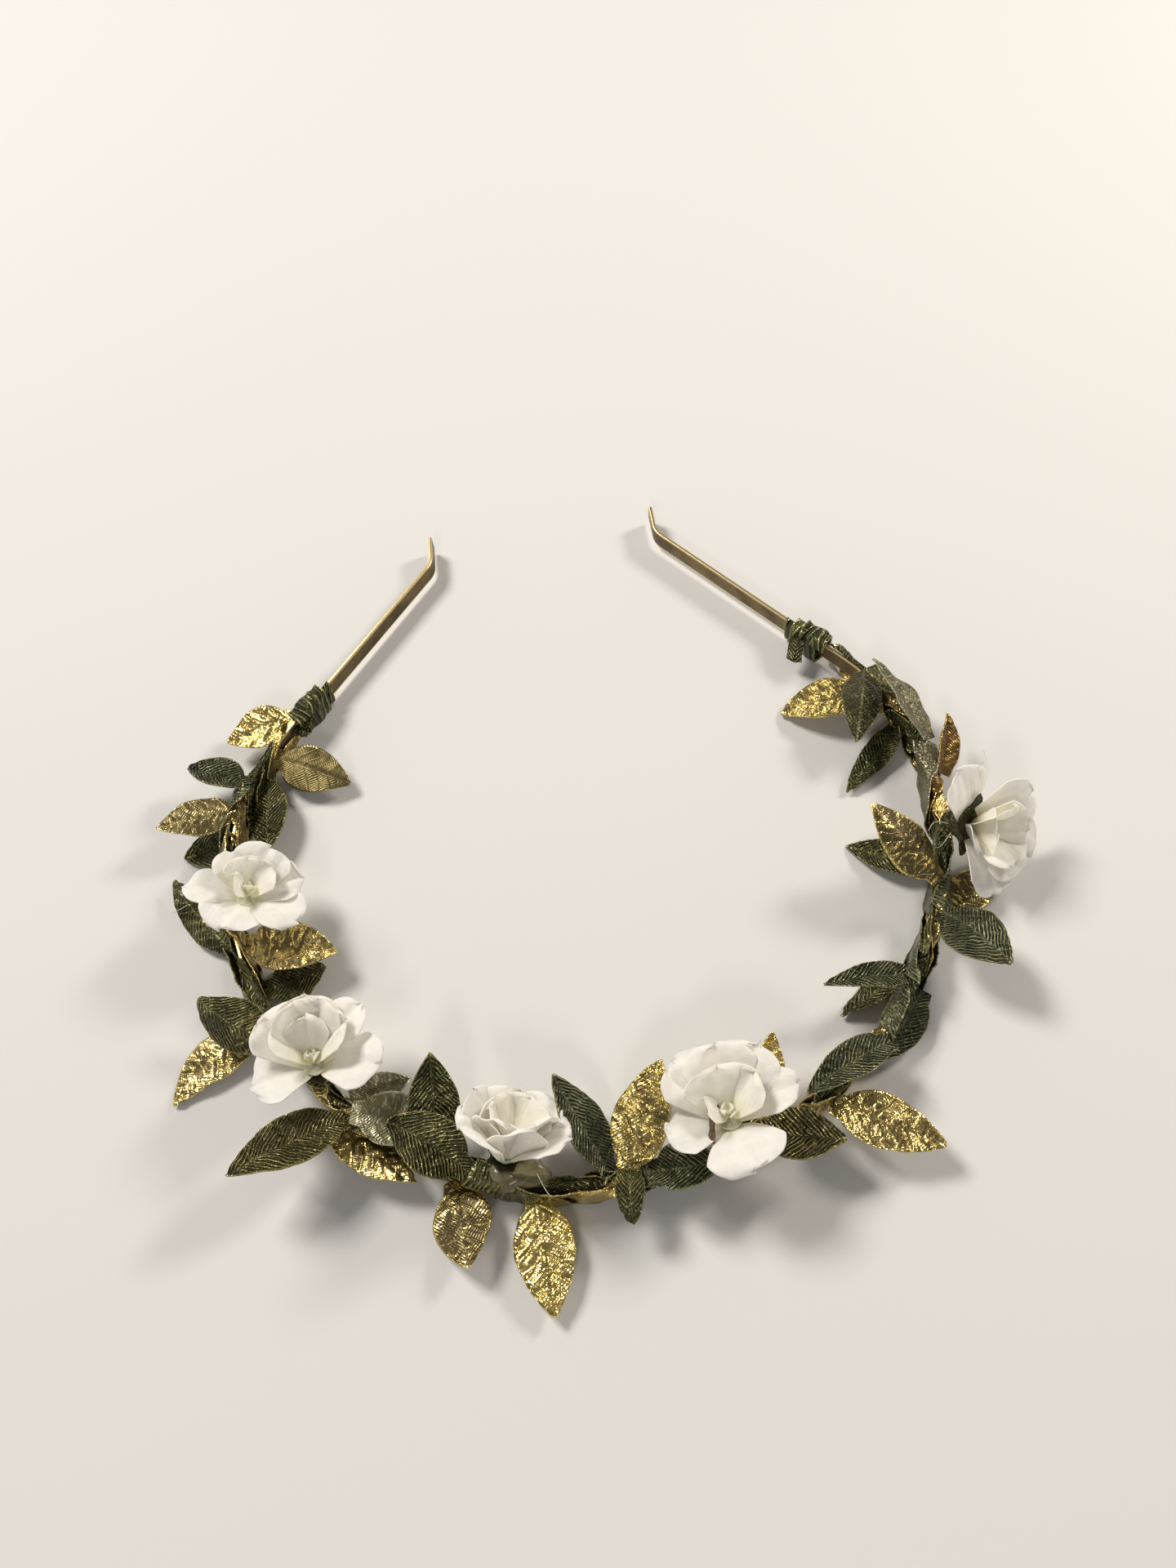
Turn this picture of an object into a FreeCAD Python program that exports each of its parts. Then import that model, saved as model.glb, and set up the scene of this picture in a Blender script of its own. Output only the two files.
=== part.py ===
"""Flower crown: a flat metal head band laid down on its edge, two wound ribbons, leaves and flowers.

Frame: millimetres, +Z up. The crown lies on the plane Z = 0 with the band standing on its edge.
The origin is the centre of the head opening, -Y is the front of the crown, +Y is the open back.
A station is the distance along the band from the front, positive towards +X.
"""
import math
import os

import FreeCAD
import Part

Vec = FreeCAD.Vector
UP = Vec(0, 0, 1)

# ---- head band ----
band_thickness = 0.8
band_height = 4.0
band_edge_round = 0.25
head_radius = 67.5          # band's middle line round the front of the head
side_radius = 45.0          # tighter bend behind the temples
side_turn = 39.0            # degrees that this bend turns the leg inwards
leg_length = 50.0
tip_radius = 5.0            # outward bend that keeps the tips off the skin
tip_turn = 38.0
tip_length = 5.5

# ---- wound ribbons ----
ribbon_thickness = 0.35
ribbon_width = 7.0          # measured along the band
ribbon_gap = 0.3            # between a ribbon and the band inside it
winding_pitch = 24.0        # both ribbons, half a turn apart
winding_reach = 140.0       # stations covered by the ribbons, both ways from the front
winding_steps = 16          # flat runs in one turn

# ---- ribbon coils that close the winding on each leg ----
coil_reach = 1.2            # from the end of the winding to the coil
coil_pitch = 2.4
coil_width = 2.3
coil_turns = 3.0
coil_thickness = 0.5
coil_flare = 0.5            # extra radius at the coil's last turn

# ---- leaves ----
leaf_thickness = 0.4
leaf_gap = 0.15             # between a leaf's root and the ribbons
root_width = 2.0
neck_width = 3.4
neck_length = 3.0
leaf_tip_width = 0.5

# ---- flowers ----
petal_thickness = 0.35
petal_cup = 0.5             # how much a petal's edges lift towards its tip
petal_skew = 0.9            # one edge of each petal stands higher, like a pinwheel
petal_notch = 0.45          # depth of the ring at the slit between two petals, as a share
petal_points = 8            # points round the ring for each petal
calyx_height = 2.6
calyx_radius = 2.2
calyx_foot_radius = 1.2
hub_height = 1.0
hub_radius = 1.2
hub_foot_radius = 0.55
stack_gap = 0.2             # between the calyx, the inner hub and the bud
flower_gap = 0.15           # between the calyx and the ribbons
bud_height = 4.5
bud_radius = 0.8
bud_foot_radius = 0.3

# Leaves: colour, station, seat angle round the band (0 outward, 90 up, 180 inward), lean from the
# outward direction towards higher stations, rise, roll, curl, sway and twist along the leaf
# (degrees), length, width, fold (degrees).
leaves = [
    ("gold", -139, 10, 54, 4, -8, -10, 0, 0, 16.0, 10.0, 8),
    ("gold", -132, 170, -174, 0, 10, -12, 0, 0, 16.5, 9.0, -10),
    ("green", -123, 40, -6, 18, 20, -30, 0, 0, 14.0, 9.5, 24),
    ("green", -127, 180, 118, 4, 34, 0, 0, 0, 17.0, 8.0, -12),
    ("gold", -118, 40, 24, 14, -6, -18, 0, 0, 16.0, 8.0, -10),
    ("green", -113, -10, 16, -6, 0, 4, 0, 0, 12.5, 8.0, 8),
    ("gold", -113, 90, 98, 24, 62, -20, 0, 0, 12.5, 4.0, 10),
    ("green", -91, -5, -58, 2, -10, 0, -18, 0, 19.0, 8.0, -14),
    ("gold", -89, 165, 152, 16, 6, -28, 0, 0, 17.5, 9.5, 16),
    ("green", -80, 185, 172, -2, -6, 0, 0, 0, 12.0, 9.0, -8),
    ("green", -67, 30, -46, 26, -18, -36, -40, 0, 17.0, 10.5, -22),
    ("gold", -73, -10, 6, 2, 6, -10, 16, 0, 19.0, 8.5, -10),
    ("gold", -51, 175, 152, 2, 0, -4, 0, 0, 13.0, 7.5, 10),
    ("green", -49, 60, -25, 30, 10, -26, 0, 0, 21.0, 9.0, 10),
    ("gold", -53, 5, 82, 2, -50, 0, 20, 0, 18.0, 5.0, -16),
    ("gold", -46, 150, 125, 2, 4, -4, 0, 0, 18.0, 8.5, -10),
    ("green", -33, 160, -156, 18, 10, 10, 0, 0, 16.0, 8.5, 12),
    ("green", -26, 85, -112, 20, 0, -24, 14, 0, 16.5, 9.5, 12),
    ("gold", -29, -5, 32, 12, 14, -8, 0, 0, 14.5, 10.0, -12),
    ("green", -3, 165, -154, 18, 36, -14, 0, 0, 18.5, 8.5, 10),
    ("gold", -15, 0, 16, 2, 0, -6, 0, 0, 18.5, 9.5, -8),
    ("gold", -1, 130, 154, 24, -10, -14, 0, 0, 20.0, 9.5, 12),
    ("green", 0, 80, -4, 55, 0, -120, 0, 0, 9.5, 5.0, 16),
    ("green", 5.5, 90, 82, 32, 0, -46, 0, 0, 12.0, 8.0, 26),
    ("gold", 24, 175, 138, 16, 6, 4, 0, 0, 15.5, 8.0, 8),
    ("green", 21, 70, 58, 16, -4, -12, 0, 0, 15.5, 9.5, 14),
    ("gold", 36, 5, 30, 6, -4, -6, 0, 0, 19.0, 9.0, 8),
    ("green", 51, 90, -104, 14, 10, -20, 12, 0, 17.5, 7.0, 18),
    ("green", 62, 0, -70, 0, -60, 0, -6, 0, 15.5, 5.5, 10),
    ("green", 62, 150, -142, 30, 0, -40, 0, 0, 15.0, 4.5, 24),
    ("green", 65, 190, -116, -2, 30, 0, -4, 0, 14.5, 5.0, 10),
    ("green", 76, 80, -34, 42, 0, -50, 0, 0, 16.0, 10.0, -12),
    ("gold", 77, -8, 44, -2, -8, -4, 0, 0, 17.0, 9.0, 10),
    ("gold", 80, 110, 150, 32, 10, -18, 0, 0, 18.5, 9.5, -12),
    ("green", 86, 185, 160, -6, 4, 0, 0, 0, 16.0, 7.0, 10),
    ("gold", 105, 10, 64, 14, 52, 0, 18, 0, 14.0, 6.0, 16),
    ("green", 111.5, 70, 94, 20, 56, -18, 10, 0, 19.5, 7.5, 8),
    ("gold", 127, 175, 152, 0, 0, -4, 0, 0, 18.5, 9.5, 6),
    ("green", 131, 100, -140, 34, 0, -62, 0, 0, 18.0, 7.5, -20),
    ("green", 118, 185, -152, -4, 4, 0, 0, 0, 17.0, 6.0, 12),
]

# Flowers: station, seat angle, lean and rise of the axis, turn of the petals, petals in a ring,
# outer petal length with its first and last slope, inner petal length with its two slopes.
flowers = [
    (-95, 140, -150, 68, 20, 5, 12.0, 48, 6, 8.5, 62, 34),
    (-57, 110, -132, 73, 50, 5, 11.5, 50, 8, 8.5, 62, 34),
    (-21, 125, 165, 48, 10, 5, 11.0, 56, 24, 8.0, 66, 44),
    (18, 125, 180, 72, 0, 5, 12.5, 58, 12, 9.0, 60, 32),
    (94, 65, -34, 30, 30, 5, 12.5, 52, 10, 8.5, 62, 36),
]


def band_runs():
    """The right half of the band's middle line: turn radius (None if straight), angle or length."""
    return [
        (head_radius, 90.0),
        (side_radius, side_turn),
        (None, leg_length),
        (-tip_radius, tip_turn),
        (None, tip_length),
    ]


def run_length(radius, amount):
    return amount if radius is None else abs(radius) * math.radians(amount)


def along_run(point, heading, radius, length):
    """Point and heading after a length of one straight or round run."""
    if radius is None:
        return point + Vec(math.cos(heading), math.sin(heading), 0) * length, heading
    end = heading + length / radius
    shift = Vec(math.sin(end) - math.sin(heading), math.cos(heading) - math.cos(end), 0)
    return point + shift * radius, end


def band_at(station):
    """Middle of the band, outward normal and direction of higher stations at one station."""
    side = -1.0 if station < 0 else 1.0
    left = abs(station)
    point, heading = Vec(0, -head_radius, band_middle), 0.0
    for radius, amount in band_runs():
        length = min(left, run_length(radius, amount))
        point, heading = along_run(point, heading, radius, length)
        left -= length
    normal = Vec(side * math.sin(heading), -math.cos(heading), 0)
    tangent = Vec(math.cos(heading), side * math.sin(heading), 0)
    return Vec(side * point.x, point.y, point.z), normal, tangent


def half_way_round(angle, half_thickness, half_height):
    """Squarish loop round the band's section: offsets outward and upward at a seat angle."""
    across, up = math.cos(math.radians(angle)), math.sin(math.radians(angle))
    out = math.copysign(math.sqrt(abs(across)), across) * half_thickness
    rise = math.copysign(math.sqrt(abs(up)), up) * half_height
    return out, rise


def round_band(station, angle, growth):
    """Point on the loop that lies a given growth outside the band."""
    centre, normal, _ = band_at(station)
    out, rise = half_way_round(angle, band_thickness / 2 + growth, band_height / 2 + growth)
    return centre + normal * out + UP * rise


def polygon(points):
    return Part.makePolygon(points + points[:1])


band_base = ribbon_gap + coil_flare + coil_thickness    # the coils rest on the plane
band_middle = band_base + band_height / 2
winding_growth = ribbon_gap + ribbon_thickness


def band_edges(offset, side):
    """One face line of the band in plan, from the front to a tip."""
    edges = []
    point, heading = Vec(0, -head_radius, band_base), 0.0
    for radius, amount in band_runs():
        length = run_length(radius, amount)
        places = []
        for share in (0.0, 0.5, 1.0):
            here, direction = along_run(point, heading, radius, length * share)
            shift = Vec(math.sin(direction), -math.cos(direction), 0) * offset
            here = here + shift
            places.append(Vec(side * here.x, here.y, here.z))
        if radius is None:
            edges.append(Part.LineSegment(places[0], places[2]).toShape())
        else:
            edges.append(Part.Arc(*places).toShape())
        point, heading = along_run(point, heading, radius, length)
    return edges, places[2]


def make_band():
    half = band_thickness / 2
    edges = []
    for side in (1, -1):
        outer, outer_end = band_edges(half, side)
        inner, inner_end = band_edges(-half, side)
        edges += outer + inner + [Part.LineSegment(outer_end, inner_end).toShape()]
    outline = Part.Face(Part.Wire(Part.__sortEdges__(edges)))
    band = outline.extrude(UP * band_height)
    tops = [e for e in band.Edges if abs(e.BoundBox.ZMax - e.BoundBox.ZMin) < 1e-6]
    return band.makeFillet(band_edge_round, tops)


def wound_tape(first, turns, pitch, width, phase, gap, thickness, flare):
    """A tape wound round the band, from its first station; the flare lifts its last turn."""
    steps = int(round(turns * winding_steps))
    sections = []
    for step in range(steps + 1):
        share = step / steps
        angle = phase + 360.0 * turns * share
        middle = first + pitch * turns * share
        near = band_at(middle - width / 2)[0] - band_at(middle)[0]
        far = band_at(middle + width / 2)[0] - band_at(middle)[0]
        inner = round_band(middle, angle, gap + flare * share)
        outer = round_band(middle, angle, gap + flare * share + thickness)
        sections.append(polygon([inner + near, inner + far, outer + far, outer + near]))
    return Part.makeLoft(sections, True, True)


def make_stem(phase):
    turns = (2 * winding_reach - ribbon_width) / winding_pitch
    first = -winding_reach + ribbon_width / 2
    return wound_tape(first, turns, winding_pitch, ribbon_width, phase, ribbon_gap,
                      ribbon_thickness, 0.0)


def make_coil(side):
    """The coil on one leg: its narrow end points at the tip."""
    near = winding_reach + coil_reach + coil_width / 2
    far = near + coil_pitch * coil_turns
    if side > 0:
        tape = wound_tape(-far, coil_turns, coil_pitch, coil_width, 90, ribbon_gap,
                          coil_thickness, coil_flare)
        return tape.mirror(Vec(0, 0, 0), Vec(1, 0, 0))
    return wound_tape(-far, coil_turns, coil_pitch, coil_width, 90, ribbon_gap,
                      coil_thickness, coil_flare)


def direction(normal, tangent, lean, rise):
    """Unit vector from an outward normal, a lean towards the tangent and a rise, in degrees."""
    lean, rise = math.radians(lean), math.radians(rise)
    flat = normal * math.cos(lean) + tangent * math.sin(lean)
    return flat * math.cos(rise) + UP * math.sin(rise)


def rolled_axes(ahead, level, roll):
    """Side and upper axes of a strip that runs ahead, rolled from the level side axis."""
    upper = ahead.cross(level)
    if upper.z < 0:
        upper = upper * -1
    turn = math.radians(roll)
    side = level * math.cos(turn) + upper * math.sin(turn)
    return side, upper * math.cos(turn) - level * math.sin(turn)


def strip_stations(root, normal, tangent, lean, rise, roll, curl, sway, twist, length, shares):
    """Places along a bent strip with their side and upper axes."""
    places = []
    fine = 48
    point = root
    marks = [int(round(share * fine)) for share in shares]
    for step in range(fine + 1):
        share = step / fine
        ahead = direction(normal, tangent, lean + sway * share, rise + curl * share)
        if step in marks:
            level = direction(normal, tangent, lean + sway * share + 90, 0)
            side, upper = rolled_axes(ahead, level, roll + twist * share)
            places.append((share, point, side, upper))
        point = point + ahead * (length / fine)
    return places


def leaf_half_width(share, neck_share, width):
    """Half of the leaf's width: a narrow neck, a full blade and a pointed tip."""
    if share <= neck_share:
        return (root_width + (neck_width - root_width) * share / neck_share) / 2
    blade = (share - neck_share) / (1 - neck_share)
    full = math.sin(math.pi * blade ** 0.85) ** 1.1 if blade < 1 else 0.0
    base = neck_width / 2 * (1 - blade) + leaf_tip_width / 2 * blade
    return base + (width / 2 - neck_width / 4) * full


def seat_direction(normal, seat):
    return normal * math.cos(math.radians(seat)) + UP * math.sin(math.radians(seat))


def make_leaf(station, seat, lean, rise, roll, curl, sway, twist, length, width, fold):
    _, normal, tangent = band_at(station)
    side, upper = rolled_axes(direction(normal, tangent, lean, rise),
                              direction(normal, tangent, lean + 90, 0), roll)
    off = seat_direction(normal, seat)
    depth = abs(side.dot(off)) * root_width / 2 + abs(upper.dot(off)) * leaf_thickness / 2
    root = round_band(station, seat, winding_growth + leaf_gap + depth)
    neck_share = neck_length / length
    blades = (0.06, 0.13, 0.21, 0.3, 0.4, 0.5, 0.6, 0.7, 0.79, 0.87, 0.94, 1.0)
    shares = [0.0, neck_share / 2, neck_share]
    shares += [neck_share + (1 - neck_share) * blade for blade in blades]
    sections = []
    for share, point, side, upper in strip_stations(root, normal, tangent, lean, rise, roll,
                                                    curl, sway, twist, length, shares):
        half = leaf_half_width(share, neck_share, width)
        out = side * (half * math.cos(math.radians(fold)))
        lift = upper * (half * math.sin(math.radians(fold)))
        skin = upper * (leaf_thickness / 2)
        sections.append(polygon([
            point - out + lift + skin,
            point + skin,
            point + out + lift + skin,
            point + out + lift - skin,
            point - skin,
            point - out + lift - skin,
        ]))
    return Part.makeLoft(sections, True, True)


def flower_axes(station, lean, rise):
    _, normal, tangent = band_at(station)
    axis = direction(normal, tangent, lean, rise)
    outward = axis.cross(tangent)
    outward.normalize()
    return axis, outward, axis.cross(outward)


def in_flower(foot, axes, radius, angle, height):
    axis, outward, side = axes
    return foot + (outward * math.cos(angle) + side * math.sin(angle)) * radius + axis * height


def round_loop(foot, axes, radius, height, count):
    turns = [2 * math.pi * index / count for index in range(count)]
    return polygon([in_flower(foot, axes, radius, turn, height) for turn in turns])


def petal_profile(length, first, last, share):
    """Reach and height along a petal that bends from its first slope to its last."""
    fine = 20
    reach, height = 0.0, 0.0
    for step in range(fine):
        slope = math.radians(first + (last - first) * share * (step + 0.5) / fine)
        reach += math.cos(slope) * length * share / fine
        height += math.sin(slope) * length * share / fine
    return reach, height, math.radians(first + (last - first) * share)


def petal_loop(foot, axes, turn, count, start, base, length, first, last, share, offset):
    """One closed loop through all petals of a ring, at a share of their length."""
    points = []
    for index in range(count * petal_points):
        place = 2 * (index % petal_points) / petal_points - 1
        lobe = petal_notch + (1 - petal_notch) * (1 - abs(place) ** 2.6)
        reach, height, slope = petal_profile(length * lobe, first, last, share)
        height += share * length * lobe * petal_cup * place * place / 2
        height += share * petal_skew * place * (1 - abs(place) ** 6)
        radius = start + reach - math.sin(slope) * offset
        angle = math.radians(turn) + 2 * math.pi * index / (count * petal_points)
        points.append(in_flower(foot, axes, radius, angle, base + height + math.cos(slope) * offset))
    return polygon(points)


def petal_ring(foot, axes, turn, count, foot_radius, radius, base, length, first, last):
    """A stamped ring of petals in one piece with the short cone that it stands on."""
    around = count * petal_points
    start = radius / 2
    middle = base + petal_thickness / 2
    shares = (0.2, 0.4, 0.6, 0.8, 0.95, 1.0)
    loops = [round_loop(foot, axes, foot_radius, 0, around)]
    loops.append(round_loop(foot, axes, radius, base, around))
    for share in shares:
        loops.append(petal_loop(foot, axes, turn, count, start, middle, length, first, last,
                                share, -petal_thickness / 2))
    for share in reversed(shares):
        loops.append(petal_loop(foot, axes, turn, count, start, middle, length, first, last,
                                share, petal_thickness / 2))
    loops.append(round_loop(foot, axes, start * 0.6, base + petal_thickness, around))
    return Part.makeLoft(loops, True, True)


def make_bud(foot, axes):
    """The rolled heart of a flower, a turned drop shape."""
    axis, outward, _ = axes
    heights = (0.0, 0.35, 0.75, 1.0)
    radii = (bud_foot_radius, bud_radius, bud_radius * 0.85, bud_radius * 0.35)
    rim = [foot + outward * r + axis * (bud_height * h) for r, h in zip(radii, heights)]
    curve = Part.BSplineCurve()
    curve.interpolate(rim)
    top = foot + axis * bud_height
    edges = [
        Part.LineSegment(foot, rim[0]).toShape(),
        curve.toShape(),
        Part.LineSegment(rim[-1], top).toShape(),
        Part.LineSegment(top, foot).toShape(),
    ]
    return Part.Face(Part.Wire(edges)).revolve(foot, axis, 360)


def make_flower(station, seat, lean, rise, turn, count, length, first, last, inner_length,
                inner_first, inner_last):
    axes = flower_axes(station, lean, rise)
    axis = axes[0]
    tilt = axis.getAngle(seat_direction(band_at(station)[1], seat))
    depth = calyx_foot_radius * math.sin(tilt)
    foot = round_band(station, seat, winding_growth + flower_gap + depth)
    outer = petal_ring(foot, axes, turn, count, calyx_foot_radius, calyx_radius, calyx_height,
                       length, first, last)
    hub_foot = foot + axis * (calyx_height + petal_thickness + stack_gap)
    inner = petal_ring(hub_foot, axes, turn + 180.0 / count, count, hub_foot_radius, hub_radius,
                       hub_height, inner_length, inner_first, inner_last)
    bud_foot = hub_foot + axis * (hub_height + petal_thickness + stack_gap)
    return outer, inner, make_bud(bud_foot, axes)


def solid_of(shape):
    """The one solid in a shape, turned the right way out."""
    solids = shape.Solids
    body = solids[0] if len(solids) == 1 else shape
    if body.Volume < 0:
        body.reverse()
    return body


def build():
    nodes = {"band": make_band(), "stem_green": make_stem(0), "stem_gold": make_stem(180)}
    nodes["coil_left"] = make_coil(-1)
    nodes["coil_right"] = make_coil(1)
    made = {"green": 0, "gold": 0}
    for row in leaves:
        colour = row[0]
        made[colour] += 1
        nodes["leaf_%s_%02d" % (colour, made[colour])] = make_leaf(*row[1:])
    for number, row in enumerate(flowers, 1):
        outer, inner, bud = make_flower(*row)
        nodes["flower_%d_outer" % number] = outer
        nodes["flower_%d_inner" % number] = inner
        nodes["flower_%d_bud" % number] = bud
    return nodes


def main():
    os.makedirs("parts", exist_ok=True)
    for name, shape in build().items():
        body = solid_of(shape)
        print(name, "solids", len(body.Solids), "valid", body.isValid(),
              "volume %.2f" % body.Volume)
        body.exportStep("parts/%s.step" % name)


main()
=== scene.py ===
# %% [markdown]
# # A flower crown
# The crown is a springy metal strip that lies on its edge. Ribbon is wound round it, and fabric
# leaves and small silk flowers are glued along its front and sides. The hard strip comes from the
# CAD model as it is. Everything made of fabric is built here over its plain CAD solid, because
# cloth has creases and pressed patterns that the solids leave out.

# %% Load the CAD model
import math
import random

import bmesh
import bpy
import numpy as np
from mathutils import Matrix, Vector, noise
from mathutils.bvhtree import BVHTree


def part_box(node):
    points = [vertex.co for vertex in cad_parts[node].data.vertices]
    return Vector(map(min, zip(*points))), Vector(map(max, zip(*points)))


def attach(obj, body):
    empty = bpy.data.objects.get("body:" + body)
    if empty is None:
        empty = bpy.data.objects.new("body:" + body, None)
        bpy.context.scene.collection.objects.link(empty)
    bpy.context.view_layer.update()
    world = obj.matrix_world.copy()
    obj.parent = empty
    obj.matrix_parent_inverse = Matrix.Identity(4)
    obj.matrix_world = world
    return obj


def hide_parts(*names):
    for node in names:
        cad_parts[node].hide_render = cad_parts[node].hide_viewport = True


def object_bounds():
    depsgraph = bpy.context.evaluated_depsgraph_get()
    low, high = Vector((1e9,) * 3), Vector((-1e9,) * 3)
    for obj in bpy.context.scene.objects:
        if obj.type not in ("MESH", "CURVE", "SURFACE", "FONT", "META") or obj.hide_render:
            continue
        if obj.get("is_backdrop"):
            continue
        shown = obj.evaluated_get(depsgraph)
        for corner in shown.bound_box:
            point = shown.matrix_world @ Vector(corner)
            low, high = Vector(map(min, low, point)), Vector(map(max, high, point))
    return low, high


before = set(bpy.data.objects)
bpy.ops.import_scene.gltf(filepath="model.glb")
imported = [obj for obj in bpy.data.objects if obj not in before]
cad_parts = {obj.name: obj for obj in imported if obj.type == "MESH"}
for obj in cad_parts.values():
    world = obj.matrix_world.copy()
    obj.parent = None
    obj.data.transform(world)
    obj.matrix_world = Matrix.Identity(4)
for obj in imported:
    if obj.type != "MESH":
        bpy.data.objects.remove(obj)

MM = 0.001
cad_low, cad_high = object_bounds()
print("crown", [round(s / MM, 1) for s in cad_high - cad_low], "mm,", len(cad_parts), "nodes")

# %% [markdown]
# ## Camera
# A hand-held camera stands in front of the crown and looks steeply down at it, with a slight
# roll. A wide lens close to the object makes the front look larger than the open back. The
# Standard view shows colours as they are written, where a filmic one would grey the white petals.

# %% Camera
camera = bpy.data.objects.new("camera", bpy.data.cameras.new("camera"))
camera.data.sensor_width = 36
camera.data.lens = 27.06
camera.data.clip_start = 0.01
tilt = Matrix.Rotation(math.radians(30), 3, "X")
roll = Matrix.Rotation(math.radians(-8), 3, "Z")
camera.rotation_euler = (tilt @ roll).to_euler()
camera.location = (0.0025, -0.107, 0.2031)
bpy.context.collection.objects.link(camera)
bpy.context.scene.camera = camera
bpy.context.scene.view_settings.view_transform = "Standard"
print("camera stands", round(camera.location.length, 3), "m from the middle of the crown")

# %% [markdown]
# ## Lamps
# Foil only looks like foil when it has something to mirror, so three soft boxes of different size
# stand round the crown. The largest one is behind on the left and throws the shadows. Small ones
# at the side and in front make sparks on creases that turn away from it.


# %% Lamps
def soft_box(name, place, size, power, colour):
    """A square lamp that points at the middle of the crown."""
    lamp = bpy.data.lights.new(name, "AREA")
    lamp.size = size
    lamp.energy = power
    lamp.color = colour
    box = bpy.data.objects.new(name, lamp)
    box.location = place
    box.rotation_euler = (-Vector(place)).to_track_quat("-Z", "Y").to_euler()
    bpy.context.collection.objects.link(box)
    print(name, power, "W")


soft_box("lamp_key", (-0.60, 0.63, 0.93), 0.36, 13.5, (1.0, 0.96, 0.90))
soft_box("lamp_side", (0.55, 0.25, 0.40), 0.14, 2.5, (1.0, 0.93, 0.83))
soft_box("lamp_front", (-0.15, -0.60, 0.50), 0.14, 0.9, (1.0, 0.96, 0.90))

# %% [markdown]
# ## Floor
# The crown lies on a plain pale sheet. One large square does it, because a plain floor needs no
# detail, and it is declared as staging so that it never counts as part of the crown.

# %% Floor
floor_half = 4.0
floor_corners = [(x * floor_half, y * floor_half, cad_low.z)
                 for x, y in ((-1, -1), (1, -1), (1, 1), (-1, 1))]
floor_mesh = bpy.data.meshes.new("floor")
floor_mesh.from_pydata(floor_corners, [], [(0, 1, 2, 3)])
paper = bpy.data.materials.new("floor_paper")
paper.use_nodes = True
paper_surface = paper.node_tree.nodes["Principled BSDF"].inputs
paper_surface["Base Color"].default_value = (0.70, 0.685, 0.665, 1)
paper_surface["Roughness"].default_value = 0.8
floor_mesh.materials.append(paper)
floor = bpy.data.objects.new("floor", floor_mesh)
bpy.context.collection.objects.link(floor)
floor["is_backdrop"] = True
print("floor at", round(cad_low.z / MM, 2), "mm")

# %% [markdown]
# ## Sums made of nodes
# A node tree is a calculation in boxes and wires. Written node by node, a short sum takes ten
# lines, so outputs are wrapped in a small class here. Python's own signs +, -, * and / then add
# the Math nodes, and a sum in the script reads like the sum it stands for. Two helpers come
# first: one fills a socket, and one adds a node and hands back one of its outputs.


# %% Add a node and read it
def fill(tree, socket, value):
    """Gives a socket a number, or joins it to the output of another node."""
    if isinstance(value, Value):
        value = value.socket
    if isinstance(value, bpy.types.NodeSocket):
        tree.links.new(value, socket)
    elif value is not None:
        socket.default_value = value


def read(tree, kind, inputs=(), output=0, **settings):
    """Adds a node and hands back one output; inputs maps socket names or numbers to values."""
    node = tree.nodes.new(kind)
    for name, value in settings.items():
        setattr(node, name, value)
    pairs = inputs.items() if hasattr(inputs, "items") else enumerate(inputs)
    for key, value in pairs:
        fill(tree, node.inputs[key], value)
    return Value(tree, node.outputs[output])


print("nodes can be added")

# %% [markdown]
# The class holds an output and the tree that it belongs to. Python calls the method with the
# matching name for each sign, and the ones that start with an r when a plain number stands first.


# %% Calculate with outputs
class Value:
    """The output of a node as something to calculate with; each sign adds a Math node."""

    def __init__(self, tree, socket):
        self.tree = tree
        self.socket = socket

    def maths(self, operation, *others):
        return read(self.tree, "ShaderNodeMath", (self, *others), operation=operation)

    def maths_after(self, operation, first):
        return read(self.tree, "ShaderNodeMath", (first, self), operation=operation)

    def __add__(self, other):
        return self.maths("ADD", other)

    def __radd__(self, other):
        return self.maths_after("ADD", other)

    def __sub__(self, other):
        return self.maths("SUBTRACT", other)

    def __rsub__(self, other):
        return self.maths_after("SUBTRACT", other)

    def __mul__(self, other):
        return self.maths("MULTIPLY", other)

    def __truediv__(self, other):
        return self.maths("DIVIDE", other)

    def __rtruediv__(self, other):
        return self.maths_after("DIVIDE", other)

    def __pow__(self, other):
        return self.maths("POWER", other)

    def __abs__(self):
        return self.maths("ABSOLUTE")


print("node values support + - * / ** and abs()")

# %% [markdown]
# ## Patterns that come back
# Most patterns start from the same few nodes: the place on the piece, its chart in the UV map, a
# soft step and a cloud of noise. Each gets a name, which keeps the trees below short.


# %% Pattern helpers
def ramp(value, low, high):
    """A smooth step from 0 at low to 1 at high."""
    inputs = {"Value": value, "From Min": low, "From Max": high}
    return read(value.tree, "ShaderNodeMapRange", inputs, "Result",
                interpolation_type="SMOOTHSTEP")


def split(tree, vector):
    """The three numbers of a vector."""
    node = tree.nodes.new("ShaderNodeSeparateXYZ")
    fill(tree, node.inputs[0], vector)
    return [Value(tree, socket) for socket in node.outputs]


def vectors(tree, operation, *values, output=0):
    return read(tree, "ShaderNodeVectorMath", values, output, operation=operation)


def scaled(vector, factor):
    return read(vector.tree, "ShaderNodeVectorMath", {0: vector, 3: factor}, operation="SCALE")


def object_place(tree):
    return read(tree, "ShaderNodeTexCoord", output="Object")


def leaf_chart(tree):
    return read(tree, "ShaderNodeUVMap", uv_map="UVMap")


def noise_at(place, scale, detail=2.0, output="Fac", **more):
    inputs = {"Vector": place, "Scale": scale, "Detail": detail, **more}
    return read(place.tree, "ShaderNodeTexNoise", inputs, output)


def mottle(tree, scale, low=0.35, high=0.65):
    """Soft patches from 0 to 1, with a size of about 1 / scale metres."""
    return ramp(noise_at(object_place(tree), scale, 4.0), low, high)


print("pattern helpers ready")

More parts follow.
